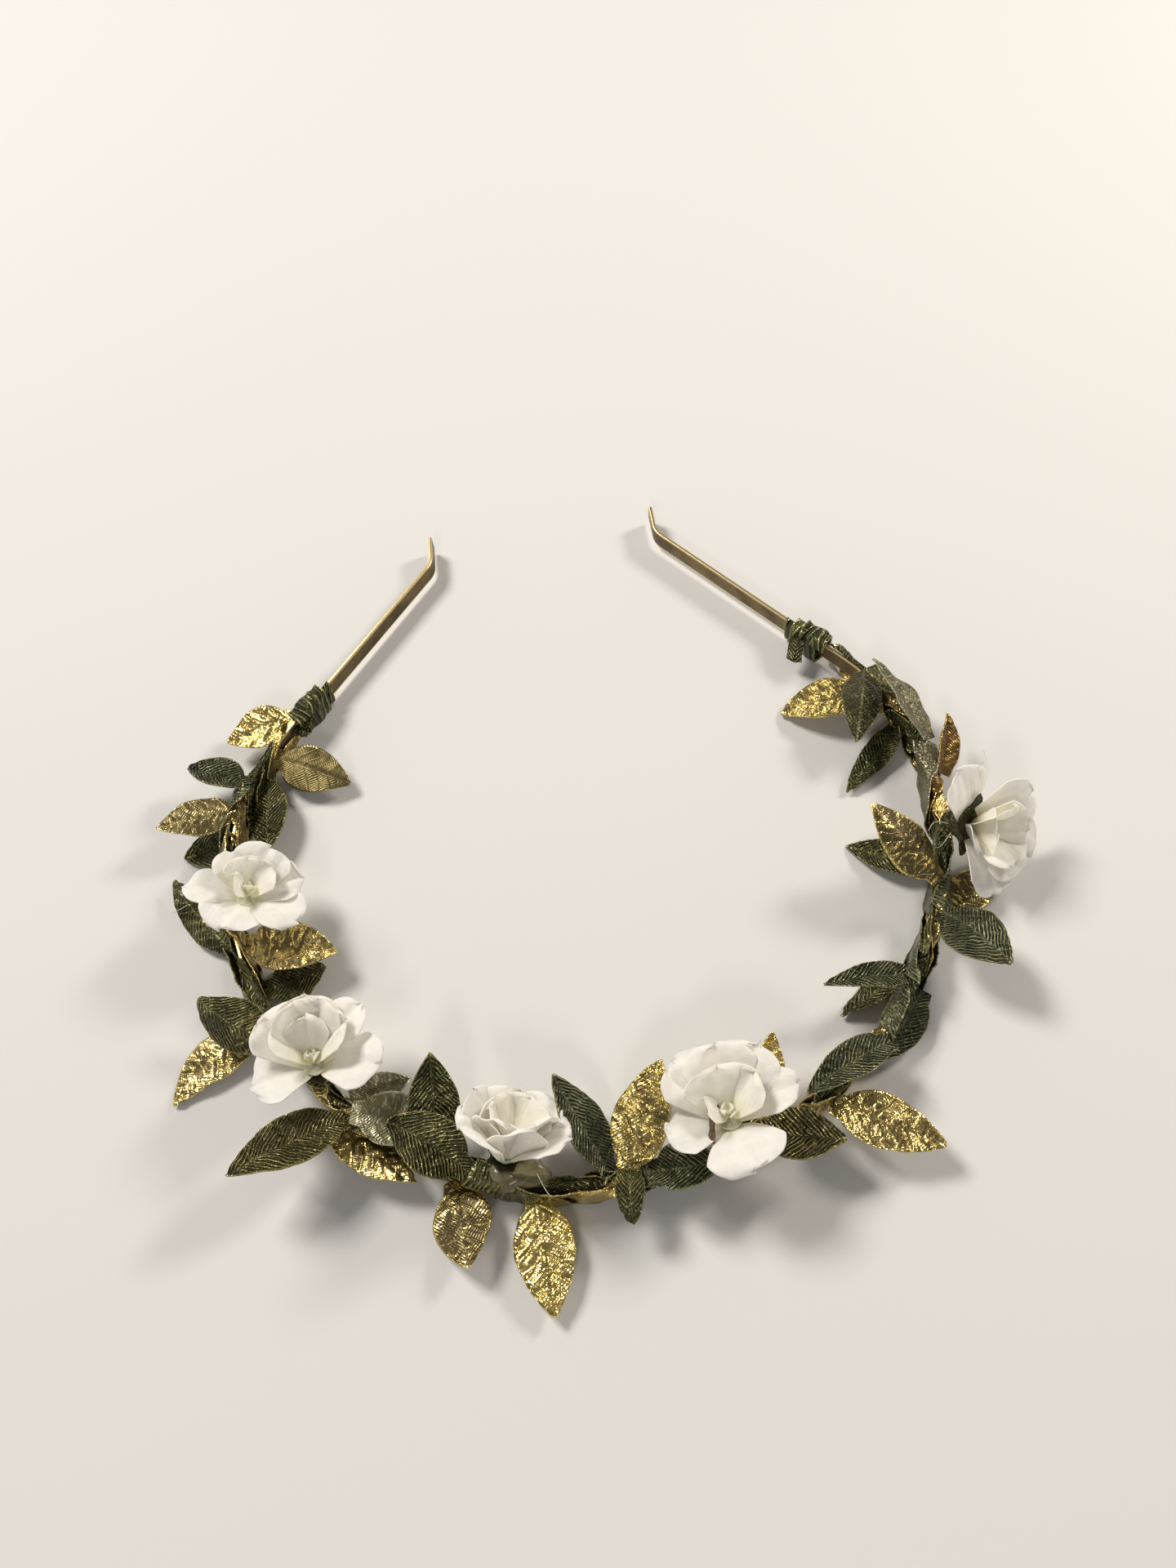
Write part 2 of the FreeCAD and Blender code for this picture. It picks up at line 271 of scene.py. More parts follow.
# %% [markdown]
# ## Room
# The room is dim overhead and paler along the horizon. A view from the side sees a pale backdrop,
# and foil that faces upwards still mirrors dark air between the lamps, which keeps its sparkle.
# An even grey would be simpler, but it makes the foil flat or the backdrop dark.

# %% Room
room = bpy.data.worlds.new("soft_room")
room.use_nodes = True
backdrop = room.node_tree.nodes["Background"].inputs
backdrop["Color"].default_value = (1.0, 0.985, 0.965, 1)
horizon_strength, dimming = 0.66, 0.50
upward = split(room.node_tree, read(room.node_tree, "ShaderNodeTexCoord", output="Generated"))[2]
fill(room.node_tree, backdrop["Strength"], horizon_strength - ramp(upward, 0.12, 0.50) * dimming)
bpy.context.scene.world = room
print("room strength", horizon_strength, "at the horizon,", round(horizon_strength - dimming, 2),
      "overhead")

# %% [markdown]
# ## Node groups
# Creases, pressed veins and the weave of the cloth show on many pieces in different strengths.
# Each is a node group with named inputs, built once and placed in every material that needs it. A
# copy of the nodes in each material would work too, but a correction would have to be made many
# times.


# %% Group helpers
def new_group(name, inputs, outputs, kind="ShaderNodeTree"):
    """A group with its inputs as values. An input maps to a starting number or to its kind."""
    tree = bpy.data.node_groups.new(name, kind)
    for label, start in inputs.items():
        if isinstance(start, str):
            tree.interface.new_socket(label, in_out="INPUT", socket_type="NodeSocket" + start)
        else:
            socket = tree.interface.new_socket(label, in_out="INPUT", socket_type="NodeSocketFloat")
            socket.default_value = start
    for label in outputs:
        socket_kind = "NodeSocketGeometry" if label == "Geometry" else "NodeSocketFloat"
        tree.interface.new_socket(label, in_out="OUTPUT", socket_type=socket_kind)
    entry = tree.nodes.new("NodeGroupInput")
    exit_sockets = tree.nodes.new("NodeGroupOutput").inputs
    return tree, {socket.name: Value(tree, socket) for socket in entry.outputs}, exit_sockets


def fill_all(tree, sockets, **values):
    """Fills sockets by name, with _ for a space."""
    for label, value in values.items():
        fill(tree, sockets[label.replace("_", " ")], value)


def place_group(tree, group, **values):
    """A group in a tree, with its own values; hands back its outputs by name."""
    node = tree.nodes.new("ShaderNodeGroup")
    node.node_tree = group
    fill_all(tree, node.inputs, **values)
    return {socket.name: Value(tree, socket) for socket in node.outputs}


print("groups can be made")

# %% [markdown]
# ## Crinkled foil
# Gold foil on fabric breaks into small flat facets with sharp folds between them. Cells of random
# tilt give the facets, and a noise bent by another noise gives the folds. Grain turns the pattern
# from the piece's own space to the leaf's chart, so that ridges run across the leaf. The layer
# moves each leaf to another part of the noise, or all leaves would have the same folds.

# %% Crinkle group: facets and folds
crinkle, given, out = new_group(
    "crinkle", {"Facet Size": 0.9, "Fold Size": 3.0, "Folds": 1.0, "Wear": 0.4, "Grain": 0.0},
    ("Height", "Worn", "Fleck"))
where = object_place(crinkle)
leaf_uv = leaf_chart(crinkle)
layer_slope = (0.3, 0.2, 0.0)
apart = vectors(crinkle, "DOT_PRODUCT", where, layer_slope, output="Value")
layer = read(crinkle, "ShaderNodeCombineXYZ", [0.0, 0.0, apart])
chart_unit = (0.0045, 0.01, 0.0)
ruled = vectors(crinkle, "MULTIPLY_ADD", leaf_uv, chart_unit, layer)
# A Mix node keeps sockets 4 and 5, and output 1, for vectors.
place = read(crinkle, "ShaderNodeMix", {0: given["Grain"], 4: where, 5: ruled}, 1,
             data_type="VECTOR")
facet_scale = 1 / MM / given["Facet Size"]
fold_scale = 1 / MM / given["Fold Size"]
fold_detail, bend = 3.0, 1.2 * MM
bent = noise_at(place, fold_scale, fold_detail, "Color")
moved = vectors(crinkle, "ADD", place, scaled(bent, bend))
facets = read(crinkle, "ShaderNodeTexVoronoi", {"Vector": moved, "Scale": facet_scale}, "Distance",
              feature="F1")
folds = abs(noise_at(moved, fold_scale, fold_detail, Roughness=0.55) - 0.5) * given["Folds"]
facet_height, fold_height = 0.5, 3.0
fill(crinkle, out["Height"], facets * facet_height + folds * fold_height)
print("facets and folds take", len(crinkle.nodes), "nodes")

# %% [markdown]
# Foil also rubs off. One mask says where the dull cloth below shows, and a second one leaves
# short dashes of foil on it. The dashes are noise on the leaf's chart, stretched across the leaf.

# %% Crinkle group: wear and flecks
patches = noise_at(where, scale=260.0, detail=4.0)
fill(crinkle, out["Worn"], ramp(patches + (given["Wear"] - 0.5), 0.45, 0.62))
dashes_per_unit, layers_per_metre, gathering = (5.5, 17.0, 1.0), 300.0, 0.35
stretched = vectors(crinkle, "MULTIPLY_ADD", leaf_uv, dashes_per_unit,
                    scaled(layer, layers_per_metre))
dashes = noise_at(stretched, scale=1.0, detail=3.0, Distortion=0.5)
fill(crinkle, out["Fleck"], ramp(dashes + (patches - 0.5) * gathering, 0.555, 0.585))
print("crinkle group has", len(crinkle.nodes), "nodes")

# %% [markdown]
# ## Pressed veins and ribs
# Each leaf is pressed in a heated mould that leaves a midrib, slanting side veins and, on the
# satin, fine ribs between them. The pattern follows the leaf's own UV map: U runs across and V
# along the blade, both in centimetres from the foot of the midrib. A folded number line gives the
# veins, because they come back at an even distance, and a sine gives the ribs.

# %% Vein group
FULL_TURN = 6.2832
MM_PER_CHART_UNIT = 10.0
veins, given, out = new_group(
    "pressed_veins", {"Spacing": 2.3, "Slant": 0.8, "Rib Pitch": 0.42, "Ribs": 0.35, "Veins": 1.0},
    ("Height", "Line"))
leaf_uv = leaf_chart(veins)
u, v, _ = split(veins, leaf_uv)
across = abs(u) * MM_PER_CHART_UNIT
wander = 2.6
along = v * MM_PER_CHART_UNIT + noise_at(leaf_uv, scale=2.2, detail=1.0) * wander
beat = (along - across * given["Slant"]).maths("PINGPONG", given["Spacing"] * 0.5)
side_vein = 1.0 - ramp(beat, 0.0, 0.34)
midrib = 1.0 - ramp(across, 0.12, 0.55)
pressed_line = side_vein.maths("MAXIMUM", midrib) * given["Veins"]
rib_slant = 1.1
wave = ((along + across * rib_slant) * FULL_TURN / given["Rib Pitch"]).maths("SINE")
ribs = wave * given["Ribs"] * (1.0 - pressed_line)
fill(veins, out["Height"], pressed_line + ribs)
fill(veins, out["Line"], pressed_line)
print("vein group has", len(veins.nodes), "nodes")

# %% [markdown]
# ## Cloth grain
# Under the foil, on the satin and in the silk there is a fine weave of crossing threads. Two sine
# waves at right angles give it, and a slow noise keeps it from looking printed. Real threads
# would need millions of faces for something that is only just visible.

# %% Weave group
weave, given, out = new_group("weave", {"Pitch": 0.25, "Slubs": 0.5}, ("Height",))
where = object_place(weave)
x, y, _ = split(weave, where)
waves_per_metre = FULL_TURN / MM / given["Pitch"]
threads = (x * waves_per_metre).maths("SINE") * (y * waves_per_metre).maths("SINE")
fill(weave, out["Height"], threads + noise_at(where, scale=900.0) * given["Slubs"])
print("weave group has", len(weave.nodes), "nodes")

# %% [markdown]
# ## Finishes
# One function makes a Principled material and hands back its tree, so that each finish below only
# says what is special about it: colour, gloss and which groups shape its surface. Bumps are
# chained, and each one bends the result of the one before it.


# %% Material helpers
def finish(name, roughness=0.5, metallic=0.0, **values):
    """A Principled material; values name more of the shader's sockets, with _ for a space."""
    material = bpy.data.materials.new(name)
    material.use_nodes = True
    tree = material.node_tree
    surface = tree.nodes["Principled BSDF"].inputs
    fill_all(tree, surface, Roughness=roughness, Metallic=metallic, **values)
    return material, tree, surface


def blend_colour(mask, first, second):
    """The first colour where the mask is 0 and the second where it is 1."""
    first, second = [colour if isinstance(colour, Value) else (*colour, 1)
                     for colour in (first, second)]
    # A Mix node keeps sockets 6 and 7, and output 2, for colours.
    return read(mask.tree, "ShaderNodeMix", {0: mask, 6: first, 7: second}, 2, data_type="RGBA")


def bump(height, depth, base=None):
    """A bump of a depth in millimetres, over another bump if one is given."""
    inputs = {"Height": height, "Distance": depth * MM, "Strength": 1.0, "Normal": base}
    return read(height.tree, "ShaderNodeBump", inputs, "Normal")


def rim_value(tree):
    """The attribute that runs from 0 inside a leaf or ribbon to 1 on its rim."""
    return read(tree, "ShaderNodeAttribute", output="Fac", attribute_name="rim")


print("finishes can be made")

# %% [markdown]
# ## Gold foil
# The same foil looks different from leaf to leaf. Fresh foil is bright and sharply creased, older
# leaves have dull olive cloth with flecks of gold, and one is smooth amber where glue has soaked
# through. One function makes them all, because only their numbers differ. A mask says where foil
# shines: on its flecks, where it isn't worn and along the rim.


# %% Gold foil
def gold_foil(name, bright, dull, cover, facet, depth, rough, vein=1.0, flecks=1.0, press=0.12):
    """Cover is the share of bright foil, and flecks lie on the rest; press is the veins' depth."""
    material, tree, surface = finish(name, Specular_IOR_Level=0.6)
    cloth_metallic, cloth_roughness = 0.72, rough + 0.14
    foil = place_group(tree, crinkle, Facet_Size=facet, Fold_Size=2.2, Folds=1.0, Wear=1 - cover,
                       Grain=1.0)
    lines = place_group(tree, veins, Spacing=2.5, Slant=0.8, Rib_Pitch=0.6, Ribs=0.2, Veins=vein)
    fleck = foil["Fleck"] * flecks
    shining = fleck.maths("MAXIMUM", 1.0 - foil["Worn"])
    shining = shining.maths("MAXIMUM", ramp(rim_value(tree), 0.45, 0.9))
    tone = blend_colour(mottle(tree, 420), bright, [channel * 0.62 for channel in bright])
    pressed = bump(lines["Height"], press)
    creased = bump(foil["Height"], depth, pressed)
    fill_all(tree, surface, Base_Color=blend_colour(shining, dull, tone),
             Metallic=cloth_metallic + shining * (1 - cloth_metallic),
             Roughness=cloth_roughness - shining * (cloth_roughness - rough),
             Normal=bump(fleck, 0.10, creased))
    return material


print("foil can be made")

# %% [markdown]
# Each row gives the bright and the dull colour, the cover, the size of the facets and the depth
# of the creases in millimetres, the roughness and, where it isn't the usual, the rest.

# %% Gold finishes
foil_numbers = {
    "bright": ((0.95, 0.745, 0.27), (0.36, 0.25, 0.08), 0.62, 0.8, 0.15, 0.18),
    "veined": ((0.95, 0.75, 0.28), (0.16, 0.115, 0.04), 0.50, 1.1, 0.26, 0.17, 1.0, 1.0, 0.36),
    "creased": ((0.95, 0.745, 0.28), (0.16, 0.115, 0.04), 0.45, 1.1, 0.22, 0.17, 0.6),
    "flecked": ((0.95, 0.735, 0.26), (0.120, 0.088, 0.034), 0.24, 0.8, 0.08, 0.18, 0.5),
    "lined": ((0.80, 0.64, 0.29), (0.150, 0.115, 0.042), 0.05, 1.0, 0.08, 0.22, 0.5, 0.5),
    "dull": ((0.50, 0.39, 0.17), (0.140, 0.108, 0.036), 0.03, 2.2, 0.03, 0.26, 0.3, 0.12),
    "grey": ((0.78, 0.73, 0.52), (0.175, 0.158, 0.085), 0.06, 1.2, 0.10, 0.24, 0.3, 0.45),
    "amber": ((0.62, 0.41, 0.12), (0.130, 0.074, 0.017), 0.26, 1.6, 0.07, 0.20, 0.5, 0.3),
    "ribbon": ((0.88, 0.665, 0.25), (0.20, 0.14, 0.055), 0.42, 0.7, 0.20, 0.20, 0.0),
}
foils = {name: gold_foil("gold_" + name, *numbers) for name, numbers in foil_numbers.items()}
print("gold:", *foils)

# %% [markdown]
# ## Green satin
# The green leaves and ribbon are dark satin that mirrors the lamps along its ribs with a warm
# sheen. On top of that, a much lighter colour is painted on the rib tops in patches as a painted
# highlight, and the rims and veins are painted lighter too. Some pieces lean to olive, with gold
# specks that are partly gold dust from their neighbours and partly a painted golden sheen, and some
# to blue-green. A plain dark cloth with a white gloss turns grey under the lamps, so the satin is
# partly metallic, which tints what it mirrors.


# %% Green satin
def green_satin(name, shade, lit, dust_and_sheen, ribs, depth, rough=0.27, vein=1.0, pale=0.10):
    """Shade is the hollows' colour, lit a painted highlight on rib tops; pale lightens the veins.
    """
    material, tree, surface = finish(name, Specular_IOR_Level=0.5)
    satin_metallic, gold_dust_and_sheen = 0.62, (0.55, 0.46, 0.18)
    lines = place_group(tree, veins, Spacing=2.4, Slant=0.85, Rib_Pitch=0.85, Ribs=ribs, Veins=vein)
    grain = place_group(tree, weave, Pitch=0.3, Slubs=0.8)
    foil = place_group(tree, crinkle, Facet_Size=1.5, Fold_Size=2.0, Folds=1.0, Wear=0.5)
    tone = blend_colour(mottle(tree, 330, 0.3, 0.7), shade, [channel * 1.7 for channel in shade])
    # Painted highlight: the rib tops take the lit colour in patches whatever the light, and the
    # rims and veins are lightened too.
    plain_ribs = ramp(lines["Height"], 0.15, 1.1) * (1.0 - lines["Line"])
    patchy = 0.16 + mottle(tree, 240, 0.42, 0.62) * 0.60
    rib_highlight_and_veins = (plain_ribs * patchy).maths("MAXIMUM", lines["Line"] * pale)
    lightened = rib_highlight_and_veins.maths("MAXIMUM", ramp(rim_value(tree), 0.6, 0.95) * 0.55)
    # Gold specks: partly gold dust and partly a painted golden sheen.
    specks = foil["Fleck"] * (mottle(tree, 260, 0.48, 0.62) * dust_and_sheen)
    ribbed = blend_colour(lightened, tone, lit)
    pressed = bump(lines["Height"], depth)
    rumpled = bump(foil["Height"], 0.30, pressed)
    fill_all(tree, surface, Base_Color=blend_colour(specks, ribbed, gold_dust_and_sheen),
             Metallic=satin_metallic + specks * (1 - satin_metallic),
             Roughness=rough + foil["Worn"] * 0.06, Normal=bump(grain["Height"], 0.004, rumpled))
    return material


print("satin can be made")

# %% [markdown]
# Each row gives the colour of the hollows and the painted highlight colour of the ribs, the gold
# dust and painted sheen, the strength of the ribs, the pressed depth in millimetres, the roughness
# and, where it isn't the usual, the rest.

# %% Green finishes
satin_numbers = {
    "deep": ((0.030, 0.031, 0.010), (0.46, 0.42, 0.17), 0.2, 0.8, 0.18, 0.22),
    "ribbed": ((0.031, 0.032, 0.011), (0.60, 0.54, 0.22), 0.35, 1.0, 0.24, 0.21, 0.7),
    "veined": ((0.036, 0.034, 0.011), (0.42, 0.38, 0.18), 0.1, 0.4, 0.26, 0.23, 0.9, 0.24),
    "teal": ((0.032, 0.036, 0.017), (0.56, 0.54, 0.29), 0.1, 1.0, 0.26, 0.21, 0.8),
    "olive": ((0.042, 0.036, 0.011), (0.66, 0.57, 0.23), 0.35, 1.0, 0.26, 0.21, 0.6),
    "grey": ((0.095, 0.085, 0.046), (0.50, 0.45, 0.28), 0.1, 0.25, 0.12, 0.27, 0.5),
    "ribbon": ((0.032, 0.035, 0.013), (0.46, 0.43, 0.18), 0.25, 1.0, 0.22, 0.22, 0.0),
}
satins = {name: green_satin("green_" + name, *numbers) for name, numbers in satin_numbers.items()}
print("green:", *satins)

# %% [markdown]
# ## Silk
# The petals are thin starched cloth, warm white at the rim and yellow-green in the throat, and
# light passes through them. Subsurface scattering gives that soft glow inside the one Principled
# shader, where a translucent shader would have to be mixed in. Fine rays run from the throat to
# the rim.


# %% Silk
def silk(name, rim_colour, throat_colour, throat_end):
    """Petal cloth whose throat colour ends at a share of the petal's length."""
    material, tree, surface = finish(name, 0.62, Subsurface_Weight=0.35, Subsurface_Scale=0.004,
                                     Sheen_Weight=0.12, Subsurface_Radius=(1.0, 0.8, 0.55))
    rays_across = 70.0
    u, v, _ = split(tree, leaf_chart(tree))
    soft = blend_colour(mottle(tree, 500), rim_colour, [channel * 0.94 for channel in rim_colour])
    rays = (u * rays_across).maths("SINE")
    grain = place_group(tree, weave, Pitch=0.28, Slubs=1.0)
    crease = noise_at(object_place(tree), 420.0, 4.0)
    rayed = bump(rays, 0.010, bump(grain["Height"], 0.010))
    fill_all(tree, surface, Base_Color=blend_colour(ramp(v, 0.0, throat_end), throat_colour, soft),
             Normal=bump(crease, 0.25, rayed))
    return material


petal_white = silk("petal_white", (0.93, 0.885, 0.79), (0.88, 0.84, 0.56), 0.36)
petal_inner = silk("petal_inner", (0.93, 0.88, 0.745), (0.86, 0.82, 0.50), 0.60)
heart_cloth = silk("heart_cloth", (0.92, 0.88, 0.68), (0.86, 0.83, 0.52), 0.90)
print("silk:", petal_white.name, petal_inner.name, heart_cloth.name)

# %% [markdown]
# ## Plated band
# The band is brass-plated steel gone brown on its faces and rubbed bright along both long edges.
# The strip stands on its edge, so the height above the table tells edge from face, and the CAD
# mesh can stay as it is without a painted mask.

# %% Band metal
band_low, band_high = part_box("band")
band_middle = (band_low.z + band_high.z) / 2
half_tall = (band_high.z - band_low.z) / 2
band_metal, tree, surface = finish("band_metal", metallic=1.0)
level = split(tree, object_place(tree))[2]
rub_from, rub_to = 0.45 * MM, 0.15 * MM
lightened = ramp(abs(level - band_middle), half_tall - rub_from, half_tall - rub_to)
face = blend_colour(mottle(tree, 160), (0.25, 0.185, 0.095), (0.14, 0.105, 0.058))
scuffs = place_group(tree, crinkle, Facet_Size=1.5, Fold_Size=5.0, Folds=0.4, Wear=0.5)
fill_all(tree, surface, Base_Color=blend_colour(lightened, face, (0.74, 0.58, 0.30)),
         Roughness=0.44 - lightened * 0.1, Normal=bump(scuffs["Height"], 0.02))
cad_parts["band"].data.materials.clear()
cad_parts["band"].data.materials.append(band_metal)
print("band is", round(2 * half_tall / MM, 2), "mm tall")

# %% [markdown]
# ## The band's middle line
# Everything soft is fixed to the band, so its middle line is needed first. Rays sent out from the
# centre of the head opening cross the strip twice, and half way between the two hits lies the
# middle. Distance along that line, counted from the front, is called the station. The line could
# be typed in as a list of points, but measured from the CAD mesh it can't disagree with it.

# %% Middle line of the band
band_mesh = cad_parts["band"].data
band_tree = BVHTree.FromPolygons([v.co for v in band_mesh.vertices],
                                 [tuple(p.vertices) for p in band_mesh.polygons])
skin = 0.01 * MM
middle_points = []
for half_degree in range(-285, 286):
    angle = math.radians(half_degree / 2 - 90)
    ray = Vector((math.cos(angle), math.sin(angle), 0))
    first_hit = band_tree.ray_cast(Vector((0, 0, band_middle)), ray)[0]
    if first_hit is None:
        continue
    second_hit = band_tree.ray_cast(first_hit + ray * skin, ray)[0]
    middle_points.append((first_hit + (second_hit or first_hit)) / 2)
line = np.array(middle_points)
steps = np.linalg.norm(np.diff(line, axis=0), axis=1)
stations = np.concatenate([[0], np.cumsum(steps)])
stations -= stations[np.argmin(np.abs(line[:, 0]) + (line[:, 1] > 0))]
print("middle line from station", round(stations[0] / MM), "to", round(stations[-1] / MM), "mm")

# %% [markdown]
# Leaves, loose ends and straps ask for the band's place and direction at a station, or for the
# station next to a point. Both are looked up in the measured line.


# %% Look up a station
def band_at(station):
    """Middle of the band, its outward normal and its direction at a station in metres."""
    before, after = [Vector([np.interp(spot, stations, line[:, axis]) for axis in range(3)])
                     for spot in (station - 0.5 * MM, station + 0.5 * MM)]
    tangent = (after - before).normalized()
    return (before + after) / 2, tangent.cross(Vector((0, 0, 1))), tangent


def nearest_station(point):
    return stations[np.argmin(np.linalg.norm(line[:, :2] - np.array(point)[:2], axis=1))]


print("front of the band at", [round(c / MM, 1) for c in band_at(0)[0]], "mm")

# %% [markdown]
# ## Wound ribbon
# A ribbon that winds round a strip follows a rule, so Geometry Nodes make it. A flat grid is laid
# out with one side along the ribbon and the other across it. Each point looks up its place on the
# middle line and later steps away from it. One tree makes both ribbons, the two coils that finish
# the winding and the long foot of every leaf, where a sculpted ribbon would serve only once.

# %% Wound ribbon: place along the band
sizes_in = ("First", "Turns", "Pitch", "Width", "Around", "Phase", "Gap", "Flare", "Thickness",
            "Crumple", "Crease Size", "Lift", "Taper", "Seed")
winding, given, out = new_group(
    "wound_ribbon", {"Geometry": "Geometry", **dict.fromkeys(sizes_in, "Float"),
                     "Steps Along": "Int", "Steps Across": "Int", "Finish": "Material"},
    ("Geometry",), "GeometryNodeTree")
grid = read(winding, "GeometryNodeMeshGrid",
            {"Size X": 1.0, "Size Y": 1.0, "Vertices X": given["Steps Along"],
             "Vertices Y": given["Steps Across"]})
flat_x, across, _ = split(winding, read(winding, "GeometryNodeInputPosition"))
share = flat_x + 0.5
run = given["Turns"] * given["Pitch"] * share
spread = across * (1.0 - given["Taper"] * share ** 4.0)
place = given["First"] + run + spread * given["Width"]
turned = given["Phase"] + share * (given["Turns"] * math.tau) + spread * given["Around"]
on_line = winding.nodes.new("GeometryNodeSampleCurve")
on_line.mode = "LENGTH"
on_line.use_all_curves = True
fill_all(winding, on_line.inputs, Curves=given["Geometry"], Length=place)
outward = vectors(winding, "CROSS_PRODUCT", on_line.outputs["Tangent"], (0.0, 0.0, 1.0))
print("ribbon tree has", len(winding.nodes), "nodes so far")

# %% [markdown]
# Cloth that was wound by hand is crumpled, and its edges stand off. Noise over the ribbon's own
# length and width changes how far each point lies from the strip, so that the creases stay with
# the ribbon when its winding changes.


# %% Wound ribbon: crumpling
def crumple_noise(coarse, offset):
    """Noise over the ribbon's own length and width, from about -1 to 1."""
    spot = read(winding, "ShaderNodeCombineXYZ",
                [run * 1000.0, across * given["Width"] * 1000.0, given["Seed"] + offset])
    return noise_at(spot, 1.0 / coarse / given["Crease Size"]) * 3.0 - 1.5


edge = (abs(across) * 2.0) ** 3.0
raised = edge * given["Lift"] * (crumple_noise(2.2, 9.0) + 1.0)
rumple = given["Crumple"] * (crumple_noise(1.0, 0.0) + 0.9)
growth = (given["Gap"] + rumple) + (raised + given["Flare"] * share)
print("ribbon tree has", len(winding.nodes), "nodes so far")

# %% [markdown]
# The path round the strip is a circle whose cosine and sine are pulled towards 1 by a root, so
# the ribbon lies flat on the strip's faces and turns quickly at its edges. A round path would
# leave a gap beside the flat faces.

# %% Wound ribbon: loop round the strip
squareness = 0.55
band_half = {"COSINE": 0.4 * MM, "SINE": half_tall}
loop = {}
for turn_kind, half in band_half.items():
    wave = turned.maths(turn_kind)
    signed = abs(wave) ** squareness * wave.maths("SIGN")
    loop[turn_kind] = signed * (growth + half)
sideways = scaled(outward, loop["COSINE"])
upwards = read(winding, "ShaderNodeCombineXYZ", [0.0, 0.0, loop["SINE"]])
on_face = vectors(winding, "ADD", on_line.outputs["Position"], sideways)
spot = vectors(winding, "ADD", on_face, upwards)
print("ribbon tree has", len(winding.nodes), "nodes so far")

# %% [markdown]
# The grid moves to the loop and is thickened by an extrusion. An extrusion leaves the face it
# starts from open, so a flipped copy of the thin sheet closes the back. The UV map and the rim
# value are stored while the grid is still flat and easy to measure.

# %% Wound ribbon: thickness and ending
doubles_within = 0.001 * MM
units_across, units_along = 60.0, 112.0
chart = read(winding, "ShaderNodeCombineXYZ",
             [across * given["Width"] * units_across, run * units_along, 0.0])
mapped = read(winding, "GeometryNodeStoreNamedAttribute",
              {"Geometry": grid, "Name": "UVMap", "Value": chart},
              data_type="FLOAT2", domain="CORNER")
rimmed = read(winding, "GeometryNodeStoreNamedAttribute",
              {"Geometry": mapped, "Name": "rim", "Value": edge}, data_type="FLOAT", domain="POINT")
laid = read(winding, "GeometryNodeSetPosition", {"Geometry": rimmed, "Position": spot})
thick = read(winding, "GeometryNodeExtrudeMesh",
             {"Mesh": laid, "Offset Scale": given["Thickness"], "Individual": False}, mode="FACES")
back = read(winding, "GeometryNodeFlipFaces", {"Mesh": laid})
joined = winding.nodes.new("GeometryNodeJoinGeometry")
fill(winding, joined.inputs[0], thick)
fill(winding, joined.inputs[0], back)
closed = read(winding, "GeometryNodeMergeByDistance",
              {"Geometry": joined.outputs[0], "Distance": doubles_within})
smooth = read(winding, "GeometryNodeSetShadeSmooth", {"Geometry": closed})
real = read(winding, "GeometryNodeRealizeInstances", {"Geometry": smooth})
finished = read(winding, "GeometryNodeSetMaterial", {"Geometry": real, "Material": given["Finish"]})
fill(winding, out["Geometry"], finished)
print("ribbon tree has", len(winding.nodes), "nodes")

# %% [markdown]
# ## From a mesh to a piece of the crown
# Every piece is settled in the same way. Its doubles are merged and its faces turned outwards,
# what would dip into the table is eased up on to it, and it is mounted on the crown's only body.
# The easing is an exponential, because a plain cut would leave a flat floor on the leaf.


# %% Settle a piece
table_clearance = 0.4


def settle(obj, material_slot, *nodes):
    """Cleans a piece's mesh, mounts it and hides the CAD nodes that it stands for."""
    shell = bmesh.new()
    shell.from_mesh(obj.data)
    bmesh.ops.remove_doubles(shell, verts=shell.verts, dist=doubles_within)
    bmesh.ops.recalc_face_normals(shell, faces=shell.faces)
    for corner in shell.verts:
        above = (corner.co.z - cad_low.z) / MM
        if above < table_clearance:
            eased = math.exp((above - table_clearance) / table_clearance)
            corner.co.z = cad_low.z + table_clearance * MM * eased
    shell.to_mesh(obj.data)
    shell.free()
    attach(obj, "root")
    if nodes:
        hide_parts(*nodes)
    return obj


def new_piece(name, mesh, material):
    """An object in the scene whose mesh has one material."""
    obj = bpy.data.objects.new(name, mesh)
    bpy.context.collection.objects.link(obj)
    mesh.materials.clear()
    mesh.materials.append(material)
    return obj


print("pieces stay", table_clearance, "mm above the table or ease down to it")

# %% [markdown]
# ## Winding with the tree
# The tree runs on a guide curve along the band's middle line. Its modifier gets the sizes, and the
# evaluated result is taken out as a plain mesh, so that the pieces carry no modifiers.


# %% Run the ribbon tree
def wound_mesh(name, material, sizes):
    """One ribbon wound round the band, as a plain mesh."""
    path = bpy.data.curves.new(name + "_path", "CURVE")
    path.dimensions = "3D"
    spline = path.splines.new("POLY")
    spline.points.add(len(line) - 1)
    for point, spot in zip(spline.points, line):
        point.co = (*spot, 1)
    guide = bpy.data.objects.new(name + "_guide", path)
    bpy.context.collection.objects.link(guide)
    modifier = guide.modifiers.new("wind", "NODES")
    modifier.node_group = winding
    for item in winding.interface.items_tree:
        if item.in_out == "INPUT" and item.name in sizes:
            modifier[item.identifier] = sizes[item.name]
        elif item.name == "Finish":
            modifier[item.identifier] = material
    depsgraph = bpy.context.evaluated_depsgraph_get()
    mesh = bpy.data.meshes.new_from_object(guide.evaluated_get(depsgraph))
    guide.modifiers.clear()
    bpy.data.objects.remove(guide)
    return mesh


print("the tree can be run")

# %% [markdown]
# The tree works in metres and radians from the start of the line. People think of a ribbon in
# millimetres, degrees and stations, so one function turns the one into the other.


